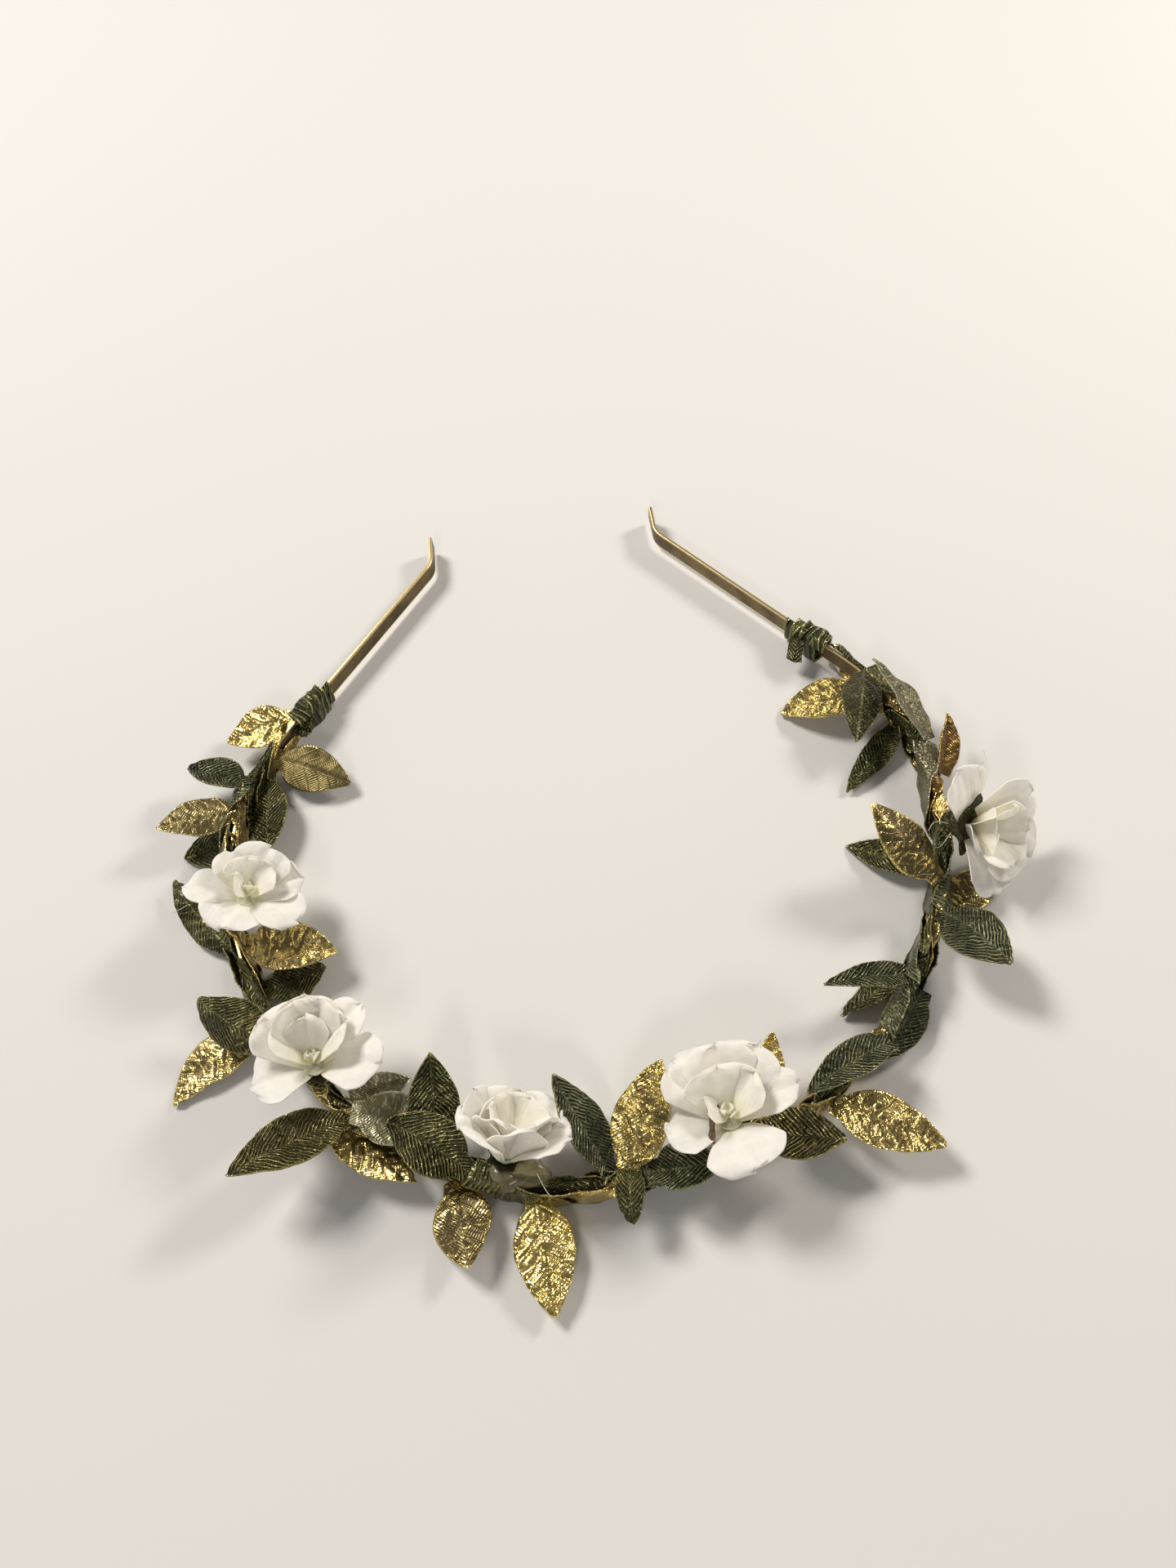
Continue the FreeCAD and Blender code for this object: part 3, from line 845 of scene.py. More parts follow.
# %% Sizes of a ribbon
def ribbon_sizes(first, turns, pitch, width, phase, seed, gap=0.3, flare=0.0, thickness=0.22,
                 crumple=0.3, lift=0.5, around=0.0, crease=2.0, taper=0.0, rows=None):
    """The tree's inputs, from millimetres, stations and degrees."""
    rows_per_turn, least_rows, points_across = 90, 24, 15
    rows = rows or max(least_rows, int(abs(turns) * rows_per_turn))
    return {"First": first * MM - float(stations[0]), "Turns": turns, "Pitch": pitch * MM,
            "Width": width * MM, "Phase": math.radians(phase), "Around": math.radians(around),
            "Gap": gap * MM, "Flare": flare * MM, "Thickness": thickness * MM,
            "Crumple": crumple * MM, "Crease Size": crease, "Lift": lift * MM, "Seed": seed,
            "Taper": taper, "Steps Along": rows, "Steps Across": points_across}


print("ribbons can be wound")

# %% [markdown]
# ## Two ribbons and two coils
# The green ribbon is wider than the gold one and lies half a turn from it, so that both show in
# turn. Where the winding stops, a short ribbon is coiled tightly over its end, and its last turn
# stands off further than the first, which the flare does.


# %% Ribbons and coils
def wind(name, node, material_slot, material, sizes):
    """Winds one ribbon and lets it stand for its CAD node."""
    piece = new_piece(name, wound_mesh(name, material, sizes), material)
    settle(piece, material_slot, node)
    print(name, len(piece.data.polygons), "faces")


ribbon_end_at, ribbon_pitch = 140.0, 24.0
green_from, gold_from = 5 - ribbon_end_at, 3.5 - ribbon_end_at
wind("ribbon_green", "stem_green", "green_ribbon", satins["ribbon"],
     ribbon_sizes(green_from, -2 * green_from / ribbon_pitch, ribbon_pitch, 11.0, 0, 3.0))
wind("ribbon_gold", "stem_gold", "gold_ribbon", foils["ribbon"],
     ribbon_sizes(gold_from, -2 * gold_from / ribbon_pitch, ribbon_pitch, 7.0, 180, 8.0, gap=0.2,
                  thickness=0.18, lift=0.7))
coil_at, coil_turns = 148.2, 2.2
coil_shape = dict(flare=0.9, thickness=0.3, crumple=0.8, lift=0.25, crease=4.2)
for side, first, pitch, width, seed in (("left", -coil_at, 2.2, 6.4, 5.0),
                                        ("right", coil_at, -2.2, 6.0, 6.0)):
    wind("knot_" + side, "coil_" + side, "green_ribbon", satins["ribbon"],
         ribbon_sizes(first, coil_turns, pitch, width, 90, seed, **coil_shape))

# %% [markdown]
# ## The middle line of a leaf
# A leaf is a stamped piece of foil-backed cloth with a long root that is glued to the ribbon. Its
# middle line leaves the root in some direction and then curls, so the line is walked in small
# steps. A bent grid could be posed by hand instead, but the CAD leaf follows the same walk, and
# that puts each root where the plain solid's box says.

# %% Walk along a leaf
WALK_STEPS = 48
NECK_LENGTH = 3.0


def heading_vector(heading, rise):
    heading, rise = math.radians(heading), math.radians(rise)
    return np.array([math.cos(heading) * math.cos(rise), math.sin(heading) * math.cos(rise),
                     math.sin(rise)])


def walk(heading, rise, roll, curl, sway, length, droop=0.0):
    """Points of a leaf's middle line with side and upper directions, from a root at the origin."""
    place, places, sides, uppers = np.zeros(3), [], [], []
    lean = math.radians(roll)
    for step in range(WALK_STEPS + 1):
        share = step / WALK_STEPS
        turn = heading + sway * share
        ahead = heading_vector(turn, rise + curl * share + droop * math.sin(math.pi * share))
        level = heading_vector(turn + 90, 0)
        upper = np.cross(ahead, level)
        if upper[2] < 0:
            upper = -upper
        places.append(place)
        sides.append(level * math.cos(lean) + upper * math.sin(lean))
        uppers.append(upper * math.cos(lean) - level * math.sin(lean))
        place = place + ahead * (length / WALK_STEPS)
    return np.array(places), np.array(sides), np.array(uppers)


print("a leaf's middle line has", WALK_STEPS, "steps")

# %% [markdown]
# ## Outline and plain box
# The stamped outline is rounded and ends in a small point, and a power of a sine gives that with
# few numbers. The box of the plain leaf, worked out from the same outline, is what places the
# root: where the CAD box and this box have their middles together, the root has its place.


# %% Outline of a leaf
def half_width(share, neck_share, width, neck=3.4, tip=0.5, root=2.0, fullness=1.1):
    """Half of a leaf's width: a narrow neck, a full blade and a small point."""
    if share <= neck_share:
        return (root + (neck - root) * share / neck_share) / 2
    blade_share = (share - neck_share) / (1 - neck_share)
    full = math.sin(math.pi * blade_share ** 0.85) ** fullness if 0 < blade_share < 1 else 0.0
    return neck / 2 * (1 - blade_share) + tip / 2 * blade_share + (width / 2 - neck / 4) * full


def plain_box(walked, length, width, fold, thick=0.4):
    """Lowest and highest corner of the plain leaf, with its root at the origin."""
    neck_share, bend = NECK_LENGTH / length, math.radians(fold)
    blade_shares = (0.06, 0.13, 0.21, 0.3, 0.4, 0.5, 0.6, 0.7, 0.79, 0.87, 0.94, 1.0)
    shares = [0, neck_share / 2, neck_share] + [neck_share + (1 - neck_share) * share
                                                for share in blade_shares]
    corners = []
    for share in shares:
        step = int(round(share * WALK_STEPS))
        place, side, upper = [part[step] for part in walked]
        half = half_width(step / WALK_STEPS, neck_share, width)
        for edge in (-1, 0, 1):
            spot = (place + side * edge * half * math.cos(bend)
                    + upper * abs(edge) * half * math.sin(bend))
            corners += [spot + upper * thick / 2, spot - upper * thick / 2]
    return np.min(corners, axis=0), np.max(corners, axis=0)


print("a leaf 18 mm long is", round(2 * half_width(0.5, 3 / 18, 9), 1), "mm wide half way")

# %% [markdown]
# ## From a grid of points to closed cloth
# Leaves and petals are both thin sheets. One helper takes the points of the upper face, finds the
# direction across the sheet at each point, and makes the lower face and the rim from it. A
# Solidify modifier would do much the same, but the rim values and the chart come along more
# easily here.


# %% Closed sheet
def closed_sheet(points, chart, thickness, rims=None):
    """Vertices, faces, UV and rim values of a closed sheet from a grid of upper points in mm."""
    rows, cols, _ = points.shape
    normal = np.cross(np.gradient(points, axis=1), np.gradient(points, axis=0))
    normal /= np.maximum(np.linalg.norm(normal, axis=2, keepdims=True), 1e-9)
    lower = points - normal * thickness
    spots = np.concatenate([points.reshape(-1, 3), lower.reshape(-1, 3)])
    index = np.arange(rows * cols).reshape(rows, cols)
    under = index + rows * cols
    faces = []
    for r in range(rows - 1):
        for c in range(cols - 1):
            faces.append((index[r, c], index[r, c + 1], index[r + 1, c + 1], index[r + 1, c]))
            faces.append((under[r, c], under[r + 1, c], under[r + 1, c + 1], under[r, c + 1]))
    rim = [(0, c) for c in range(cols)] + [(r, cols - 1) for r in range(1, rows)]
    rim += [(rows - 1, c) for c in range(cols - 2, -1, -1)]
    rim += [(r, 0) for r in range(rows - 2, 0, -1)]
    for here, there in zip(rim, rim[1:] + rim[:1]):
        faces.append((index[there], index[here], under[here], under[there]))
    if rims is None:
        rims = np.zeros((rows, cols))
    charts = np.concatenate([chart.reshape(-1, 2)] * 2)
    return spots, faces, charts, np.concatenate([rims.ravel()] * 2)


print("sheets can be closed")

# %% [markdown]
# A petal ring has several sheets, so the next helper joins any number of them to one mesh. It
# also stores the chart as the UV map and the rim values as an attribute for the materials. Smooth
# noise over a sheet's own length and width is what ripples all of them.


# %% Cloth mesh and ripples
def cloth_mesh(name, sheets):
    """One mesh, in metres, from one or more closed sheets in millimetres."""
    faces, start = [], 0
    for sheet_spots, sheet_faces, _, _ in sheets:
        faces += [tuple(int(i) + start for i in face) for face in sheet_faces]
        start += len(sheet_spots)
    spots, charts, rims = [np.concatenate([sheet[part] for sheet in sheets]) for part in (0, 2, 3)]
    mesh = bpy.data.meshes.new(name)
    mesh.from_pydata((spots * MM).tolist(), [], faces)
    mesh.update()
    corner = np.empty(len(mesh.loops), int)
    mesh.loops.foreach_get("vertex_index", corner)
    mesh.uv_layers.new(name="UVMap").data.foreach_set("uv", charts[corner].ravel())
    edge = mesh.attributes.new("rim", "FLOAT", "POINT")
    edge.data.foreach_set("value", rims.astype(np.float32))
    mesh.polygons.foreach_set("use_smooth", [True] * len(mesh.polygons))
    return mesh


def ripple_at(x, y, seed, scale=1.0):
    """Smooth noise from about -1 to 1 over a sheet's own length and width in mm."""
    return noise.noise(Vector((x * scale, y * scale, seed * 7.31)))


print("a ripple is", round(ripple_at(5, 2, 1, 0.3), 2), "at one place")

# %% [markdown]
# ## Forty leaves
# The table holds what differs from leaf to leaf: the direction in plan, rise, roll, curl and sway
# of its middle line, its cut length and width, the fold along its midrib, and its finish. The
# last number says how crumpled it is. Angles are in degrees and sizes in millimetres.

# %% Leaf table
columns = ("heading", "rise", "roll", "curl", "sway", "length", "width", "fold", "finish", "rough")
leaf_table = [
    ("gold_01", -165, 4, -8, -10, 0, 16, 10, 8, "bright", 1.0),
    ("gold_02", -27, 0, 10, -12, 0, 16.5, 9, -10, "dull", 0.2),
    ("gold_03", -171, 14, -6, -18, 0, 16, 8, -10, "lined", 0.6),
    ("gold_04", -91, 24, 62, -20, 0, 12.5, 4, 10, "flecked", 1.3),
    ("gold_05", -14, 16, 6, -28, 0, 17.5, 9.5, 16, "creased", 1.2),
    ("gold_06", -146, 2, 6, -10, 16, 19, 8.5, -10, "creased", 1.2),
    ("gold_07", 19, 2, 0, -4, 0, 13, 7.5, 10, "grey", 0.5),
    ("gold_08", -53, 2, -50, 0, 20, 18, 5, -16, "creased", 1.3),
    ("gold_09", -4, 2, 4, -4, 0, 18, 8.5, -10, "grey", 0.8),
    ("gold_10", -83, 12, 14, -8, 0, 14.5, 10, -12, "flecked", 0.5),
    ("gold_11", -87, 2, 0, -6, 0, 18.5, 9.5, -8, "bright", 1.3),
    ("gold_12", 63, 24, -10, -14, 0, 20, 9.5, 12, "veined", 0.9),
    ("gold_13", 68, 16, 6, 4, 0, 15.5, 8, 8, "bright", 0.8),
    ("gold_14", -29, 6, -4, -6, 0, 19, 9, 8, "creased", 0.8),
    ("gold_15", 19, -2, -8, -4, 0, 17, 9, 10, "flecked", 0.5),
    ("gold_16", 128, 32, 10, -18, 0, 18.5, 9.5, -12, "flecked", 0.4),
    ("gold_17", 63, 14, 52, 0, 18, 14, 6, 16, "amber", 0.8),
    ("gold_18", 179, 0, 0, -4, 0, 18.5, 9.5, 6, "veined", 0.8),
    ("green_01", 152, 18, 20, -30, 0, 14, 9.5, 24, "teal", 0.8),
    ("green_02", -89, 4, 34, 0, 0, 17, 8, -12, "ribbed", 0.8),
    ("green_03", -173, -6, 0, 4, 0, 12.5, 8, 8, "deep", 0.8),
    ("green_04", 135, 2, -10, 0, -18, 19, 8, -14, "deep", 0.9),
    ("green_05", 14, -2, -6, 0, 0, 12, 9, -8, "deep", 0.8),
    ("green_06", 167, 26, -18, -36, -40, 17, 10.5, -22, "ribbed", 0.8),
    ("green_07", -157, 30, 10, -26, 0, 21, 9, 10, "olive", 0.9),
    ("green_08", 86, 18, 10, 10, 0, 16, 8.5, 12, "deep", 0.8),
    ("green_09", 136, 20, 0, -24, 14, 16.5, 9.5, 12, "ribbed", 0.9),
    ("green_10", 113, 18, 36, -14, 0, 18.5, 8.5, 10, "teal", 0.8),
    ("green_11", -94, 55, 0, -120, 0, 9.5, 5, 16, "deep", 0.9),
    ("green_12", -3, 32, 0, -46, 0, 12, 8, 26, "teal", 0.9),
    ("green_13", -14, 16, -4, -12, 0, 15.5, 9.5, 14, "olive", 0.9),
    ("green_14", -151, 14, 10, -20, 12, 17.5, 7, 18, "teal", 0.8),
    ("green_15", -107, 0, -60, 0, -6, 15.5, 5.5, 10, "teal", 1.0),
    ("green_16", -179, 30, 0, -40, 0, 15, 4.5, 24, "teal", 0.8),
    ("green_17", -151, -2, 30, 0, -4, 14.5, 5, 10, "ribbed", 0.9),
    ("green_18", -59, 42, 0, -50, 0, 16, 10, -12, "teal", 0.8),
    ("green_19", 143, -6, 4, 0, 0, 16, 7, 10, "deep", 0.8),
    ("green_20", 101, 20, 56, -18, 10, 19.5, 7.5, 8, "grey", 0.4),
    ("green_21", -108, 34, 0, -62, 0, 18, 7.5, -20, "veined", 0.6),
    ("green_22", -137, -4, 4, 0, 0, 17, 6, 12, "deep", 0.8),
]
print(len(leaf_table), "leaves")

# %% [markdown]
# ## Shaping a blade
# Side veins press shallow furrows into a blade, its rim waves up and down, and three scales of
# noise buckle the cloth between. All of this is real geometry, because a bump alone leaves the
# leaf's outline smooth.


# %% Relief of a blade
def opening(share):
    """0 at the root, where the blade is still gathered, and 1 where it is fully open."""
    return min(1.0, share / 0.3)


def relief(u, reach, along, half, bend, share, seed, rough):
    """How far a point of a blade stands off its middle plane, in mm; u is -1 and 1 at the rims."""
    vein_spacing, vein_slant, furrow_depth, midrib_depth, rim_wave = 2.6, 0.85, 0.11, 0.25, 0.55
    hand = 1 if u > 0 else -1
    open_out = opening(share)
    lift = half * math.sin(bend) * (math.sqrt(u * u + 0.01) - 0.1)
    wander = 1.6 * ripple_at(along, hand * 3, seed + 8, 0.3)
    slant = (along + wander - vein_slant * abs(reach)) / vein_spacing * 2 * math.pi
    furrow = furrow_depth * math.cos(slant) * (1 - u ** 4) * min(1.0, abs(u) * 5) * open_out
    furrow *= min(1.0, rough)
    midrib = -midrib_depth * math.exp(-(reach / 0.5) ** 2) * open_out
    wave = rim_wave * abs(u) ** 2.5 * open_out * ripple_at(along, hand * 9, seed + 5, 0.28)
    buckle = (0.55 * ripple_at(along, reach, seed, 0.17)
              + rough * 0.22 * ripple_at(along, reach, seed + 2, 0.5)
              + rough * 0.10 * ripple_at(along, reach, seed + 3, 1.1))
    return lift + furrow + midrib + wave + buckle * open_out + 0.12


print("relief in the middle of a leaf", round(relief(0, 0, 9, 4, 0.1, 0.5, 1, 1), 2), "mm")

# %% [markdown]
# The grid of a blade runs from the root to the point and from rim to rim. Each point is stepped
# off from the middle line, sideways by its share of the width and upwards by the relief.


# %% Shape one blade
def blade(seed, heading, rise, roll, curl, sway, length, width, fold, rough, rows=76, cols=25):
    """The upper points of a decorated leaf in mm from its root, its chart and its rim values."""
    walked = walk(heading, rise, roll, curl, sway, length, droop=6 * ripple_at(seed, 0.4, 3))
    steps = np.linspace(0, WALK_STEPS, rows)
    middle, side, upper = [
        np.stack([np.interp(steps, range(WALK_STEPS + 1), part[:, k]) for k in range(3)], 1)
        for part in walked]
    bend, root_share = math.radians(fold), NECK_LENGTH / length * 0.7
    points, chart = np.zeros((rows, cols, 3)), np.zeros((rows, cols, 2))
    rims = np.zeros((rows, cols))
    for r, step in enumerate(steps):
        share = step / WALK_STEPS
        along = share * length
        half = half_width(share, root_share, width, neck=4.4, tip=0.3, root=3.8, fullness=0.82)
        for c in range(cols):
            u = 2 * c / (cols - 1) - 1
            wavy = opening(share) * ripple_at(along, 5 if u > 0 else -5, seed, 0.4)
            reach = half * u * (1 + 0.03 * wavy)
            height = relief(u, reach, along, half, bend, share, seed, rough)
            points[r, c] = middle[r] + side[r] * reach * math.cos(bend) + upper[r] * height
            chart[r, c] = reach / MM_PER_CHART_UNIT, along / MM_PER_CHART_UNIT
            rims[r, c] = max(abs(u) ** 6, share ** 12)
    return points, chart, rims


print("blades can be shaped")

# %% [markdown]
# ## The foot of a leaf
# Each leaf has a long foot that is laid along the band and wound partly round it. It is a short
# ribbon, so the ribbon tree makes it, with turns and length drawn from the leaf's own seed. Two
# feet run on openly towards the right-hand end, and their numbers are given.


# %% Foot of a leaf
# Turns, run in mm, width round the band in degrees and along it in mm.
open_feet = {"gold_11": (0.12, 15, 95, 1.5), "gold_05": (0.2, 12, 90, 2.0)}
straight_leg_from = 0.112
turns_drawn, run_drawn = (0.2, 0.55), (13, 20)


def leaf_foot(seed, label, heading, root, material):
    """The leaf's foot, laid along the band from where the blade leaves it."""
    station = nearest_station(root * MM)
    centre, normal, tangent = band_at(station)
    off = Vector(root * MM) - centre
    angle = math.degrees(math.atan2(off.z, off.dot(normal)))
    chance = random.Random(seed * 17)
    onwards = -1 if heading_vector(heading, 0).dot(np.array(tangent)) > 0 else 1
    if abs(station) > straight_leg_from:
        onwards = -1 if station > 0 else 1
    turns, run = chance.choice((-1, 1)) * chance.uniform(*turns_drawn), chance.uniform(*run_drawn)
    around, wide, under = 95, 1.5, 0.0
    if label[:4] == "gold":
        run, around, under = run * 0.6, 62, 0.35
    if label in open_feet:
        turns, run, around, wide = open_feet[label]
        onwards = 1
    sizes = ribbon_sizes(station / MM, turns, onwards * run / turns, wide, angle, seed * 3.7,
                         gap=0.9 + 0.2 * (seed % 4) - under, flare=-0.5, thickness=0.2,
                         crumple=0.35, around=around, crease=2.6, taper=0.8, rows=60)
    return wound_mesh("strap_" + label, material, sizes)


print(len(open_feet), "feet are set by hand")

# %% [markdown]
# ## Refits
# A dressed blade may differ a little from its plain leaf, where a soft leaf lies better with
# another direction, curl or width, or shifted by a few millimetres. The changes are kept apart
# from the table, so that the table still says what the CAD leaf says and the root can be found
# from it.

# %% Refits of single leaves
refits = {
    "gold_01": {"length": 14.5, "width": 8.6, "shift": (2.6, 1.4, 0)},
    "green_01": {"width": 8.2, "shift": (1.6, -0.4, 0)},
    "green_02": {"roll": 20},
    "gold_03": {"width": 7.4, "shift": (1.6, -0.2, 0)},
    "green_03": {"shift": (2.6, 0.2, 0)},
    "green_04": {"width": 6.5},
    "green_06": {"width": 9.5, "shift": (0.3, 2.2, 0)},
    "gold_06": {"heading": -172, "sway": 52, "length": 20.5},
    "gold_07": {"heading": 14, "length": 10.6, "width": 5.6},
    "gold_08": {"roll": -22, "length": 20, "width": 7.2},
    "gold_09": {"heading": -16, "length": 15, "shift": (-3.2, 0.4, 1.6)},
    "gold_12": {"length": 18.8, "shift": (1.0, 0, 0)},
    "gold_13": {"heading": 72, "width": 6.2},
    "green_11": {"width": 4.2, "shift": (0.4, 1.8, 0)},
    "green_12": {"shift": (-1.6, 0.4, 0)},
    "green_13": {"length": 14.5, "width": 8.4, "shift": (0.8, 2.2, 0)},
    "green_14": {"heading": -162, "width": 6.6, "shift": (0.5, -2.2, 0)},
    "green_15": {"heading": -129, "roll": -16, "length": 15, "width": 7.2},
    "gold_15": {"heading": 37, "length": 15, "width": 7.6},
    "gold_16": {"shift": (0.9, 1.4, 0.6)},
    "gold_18": {"curl": -24, "roll": 8, "rough": 1.3},
    "green_19": {"heading": 150},
    "green_20": {"heading": 106, "roll": 34, "width": 6.4},
    "gold_17": {"roll": 40, "length": 12.5, "width": 4.8},
    "green_22": {"width": 5.0},
}
print(len(refits), "leaves refitted")

# %% [markdown]
# ## Placing the leaves
# For each leaf the plain box gives the root, the refitted values give the blade, and blade and
# foot are joined to one piece that stands for the CAD leaf.

# %% Place the forty leaves
leaf_thickness = 0.24
for seed, (label, *row) in enumerate(leaf_table, 1):
    values = dict(zip(columns, row))
    low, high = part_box("leaf_" + label)
    plain_low, plain_high = plain_box(walk(*row[:6]), values["length"], values["width"],
                                      values["fold"])
    root = np.array((low + high) / 2) / MM - (plain_low + plain_high) / 2
    family, slot = (foils, "gold_leaf") if label[:4] == "gold" else (satins, "green_leaf")
    material = family[values.pop("finish")]
    values.update(refits.get(label, {}))
    shift = np.array(values.pop("shift", (0, 0, 0)))
    points, chart, rims = blade(seed, **values)
    mesh = cloth_mesh("blade_" + label,
                      [closed_sheet(points + root + shift, chart, leaf_thickness, rims)])
    whole = bmesh.new()
    whole.from_mesh(mesh)
    whole.from_mesh(leaf_foot(seed, label, values["heading"], root, material))
    whole.to_mesh(mesh)
    whole.free()
    settle(new_piece("blade_" + label, mesh, material), slot, "leaf_" + label)

# %% [markdown]
# ## Silk flowers
# Each flower is two stamped rings of petals on a short green cup, with a few small rolled petals
# in the throat. A flower's frame is its foot with three directions: along its axis, to the right
# and to the back. Petals are described in that frame, so that all flowers share one description.

# %% Flower frame
# From a flower's foot to the middle of its bud, and shifts of single flowers, in mm.
bud_middle = 6.95
nudges = {"flower_1": (1.7, 0.9, 0), "flower_2": (0, 0.8, 0), "flower_4": (0.5, 2.0, 0)}


def flower_frame(name, heading, rise):
    """Foot in mm with the axis and two directions across it, the first of them towards +X."""
    axis = heading_vector(heading, rise)
    low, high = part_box(name + "_bud")
    nudge = np.array(nudges.get(name, (0, 0, 0)))
    foot = np.array((low + high) / 2) / MM - axis * bud_middle + nudge
    right = np.array([1.0, 0, 0]) - axis * axis[0]
    right /= np.linalg.norm(right)
    return foot, axis, right, np.cross(axis, right)


print(len(nudges), "flowers nudged")

# %% [markdown]
# ## Relief of a petal
# A petal is cupped across, ruffled along its rim and has a faint furrow down the middle. The
# ruffles come from smooth noise with the petal's own seed, because no heat-curved petal is quite
# like its neighbour.


# %% Relief of a petal
def petal_lift(x, u, share, length, seed, cup, ruffle):
    """How far a point of a petal stands off the petal's slope, in mm."""
    rim = share ** 2 * (0.35 + 0.65 * u * u)
    return (cup * length * share * 0.5 * u * u * (1 - 0.9 * share)
            + 1.9 * ruffle * rim * ripple_at(x, share * length * 0.6, seed, 0.20)
            + 0.5 * ruffle * rim * ripple_at(x, share * length, seed + 1, 0.5)
            + 0.55 * share * ripple_at(x * 1.6, share * length * 0.5, seed + 2, 0.3)
            - 0.5 * max(0.0, share - 0.75) * 4 * abs(u) ** 2
            + 0.4 * share * u - 0.35 * share * math.exp(-(x / 0.8) ** 2))


print("lift of a petal's middle", round(petal_lift(0, 0, 0.5, 11, 1, 0.28, 0.55), 2), "mm")

# %% [markdown]
# ## One petal
# A petal is a strip that widens from a narrow claw and rounds off at its rim. It is laid out
# along a ray from the throat, with a slope that changes on the way, so that one row of numbers
# can make a petal that stands, spreads or hangs over.


# %% One petal
def petal_half_width(share, width):
    """Half of a petal's width: a narrow claw, a wide middle and a round end."""
    claw, widest_from, round_from = 0.14, 0.66, 0.4
    spread = claw + 0.93 * min(1.0, share / widest_from) ** 0.8
    rounding = max(0.0, (share - round_from) / (1 - round_from)) ** 3.4
    return max(width / 2 * spread * math.sqrt(max(0.0, 1 - rounding)), 0.05)


def petal(place, angle, start, base, length, width, first, last, seed, cup=0.28, ruffle=0.55,
          rows=34, cols=31):
    """The upper points of one petal in mm and its chart."""
    foot, axis, right, back = place
    ray = right * math.cos(angle) + back * math.sin(angle)
    across = -right * math.sin(angle) + back * math.cos(angle)
    points, chart = np.zeros((rows, cols, 3)), np.zeros((rows, cols, 2))
    reach, height = start, base
    for r in range(rows):
        share = r / (rows - 1)
        slope = math.radians(first + (last - first) * share ** 1.3)
        if r:
            reach += math.cos(slope) * length / (rows - 1)
            height += math.sin(slope) * length / (rows - 1)
        half = petal_half_width(share, width)
        up = axis * math.cos(slope) - ray * math.sin(slope)
        for c in range(cols):
            u = 2 * c / (cols - 1) - 1
            x = half * u
            notch = -0.05 * length * share ** 3 * (1 + ripple_at(u * 1.8, 0.3, seed + 3) * 1.8)
            points[r, c] = (foot + ray * (reach + notch) + across * x + axis * height
                            + up * petal_lift(x, u, share, length, seed, cup, ruffle))
            chart[r, c] = x / length, share
    return points, chart


print("petals can be made")

# %% [markdown]
# ## Petal rings
# A real ring is stamped in one piece, so all its petals become one piece of cloth. Each petal
# starts a little higher than the one before it, which lets them lie over each other.


# %% Petal ring
petal_step, petal_clearance = 0.14, 0.35


def petal_ring(name, node, material, place, start, base, petals, seed, thick=0.16, slot="petal",
               **shape):
    """All petals of one ring as one piece of cloth; a row is angle, length, width, two slopes."""
    sheets = []
    for index, (angle, length, width, first, last) in enumerate(petals):
        points, chart = petal(place, math.radians(angle), start, base + petal_step * index, length,
                              width, first, last, seed * 10 + index, **shape)
        points[..., 2] = np.maximum(points[..., 2], cad_low.z / MM + petal_clearance)
        sheets.append(closed_sheet(points, chart, thick))
    return settle(new_piece(name, cloth_mesh(name, sheets), material), slot, node)


print("rings can be made")

# %% [markdown]
# ## Five flowers
# Each row below is one petal: the direction it points in round the flower's axis, its length and
# width, and how steeply it leaves the throat and ends. Wide outer petals spread almost flat, and
# the inner ones stand up and crowd together on the side away from the open throat.

# %% Petal table
flowers = {
    "flower_1": (39.4, 68, [
        (176, 11.5, 8.4, 34, -14), (246, 9.8, 11.5, 38, -6), (-38, 12.5, 9.4, 38, -6),
        (14, 10.5, 9.0, 46, 4), (66, 10.5, 11.0, 60, 20), (124, 9.5, 8.4, 56, 14)], [
        (40, 7.5, 8.5, 74, 28), (98, 7.5, 8.5, 78, 38), (165, 5.5, 7.0, 80, 44)]),
    "flower_2": (89.6, 73, [
        (200, 11.0, 11.5, 36, -12), (-18, 13.0, 10.5, 38, -2), (138, 13.0, 12.0, 50, 12),
        (92, 12.5, 11.0, 62, 32), (38, 13.0, 8.5, 50, 14)], [
        (66, 12.0, 9.5, 68, 42), (106, 12.0, 9.5, 72, 48), (150, 10.0, 8.0, 64, 36),
        (22, 10.5, 8.0, 62, 28), (86, 9.0, 7.5, 80, 62)]),
    "flower_3": (57.2, 48, [
        (252, 11.0, 12.5, 80, 58), (302, 11.5, 13.5, 82, 52), (203, 12.5, 11.5, 62, 16),
        (346, 12.0, 11.0, 60, 20), (84, 11.0, 13.0, 60, 30), (140, 11.5, 12.0, 58, 26),
        (32, 11.5, 11.5, 58, 24)], [
        (60, 9.5, 10.5, 74, 50), (115, 9.5, 10.5, 74, 50), (180, 9.0, 9.0, 74, 44)]),
    "flower_4": (105.3, 72, [
        (-78, 11.4, 13.0, 38, -6), (186, 11.0, 11.5, 38, -2), (128, 13.6, 12.0, 46, 8),
        (52, 13.5, 11.0, 50, 12), (6, 13.0, 7.5, 42, 6), (90, 12.5, 12.0, 58, 24)], [
        (96, 9.5, 12.5, 76, 44), (30, 9.5, 9.5, 68, 34), (162, 6.0, 7.0, 74, 40)]),
    "flower_5": (-44.2, 30, [
        (98, 11.0, 12.5, 24, -20), (24, 14.0, 12.5, 54, 18), (-46, 13.5, 13.5, 60, 28),
        (262, 14.0, 12.0, 50, 10), (204, 8.0, 8.0, 66, 40)], [
        (66, 9.5, 10.5, 74, 42), (-10, 10.5, 11.0, 74, 40), (-84, 10.5, 10.5, 72, 38),
        (160, 7.5, 8.5, 80, 52)]),
}
petal_count = sum(len(wide) + len(inner) for _, _, wide, inner in flowers.values())
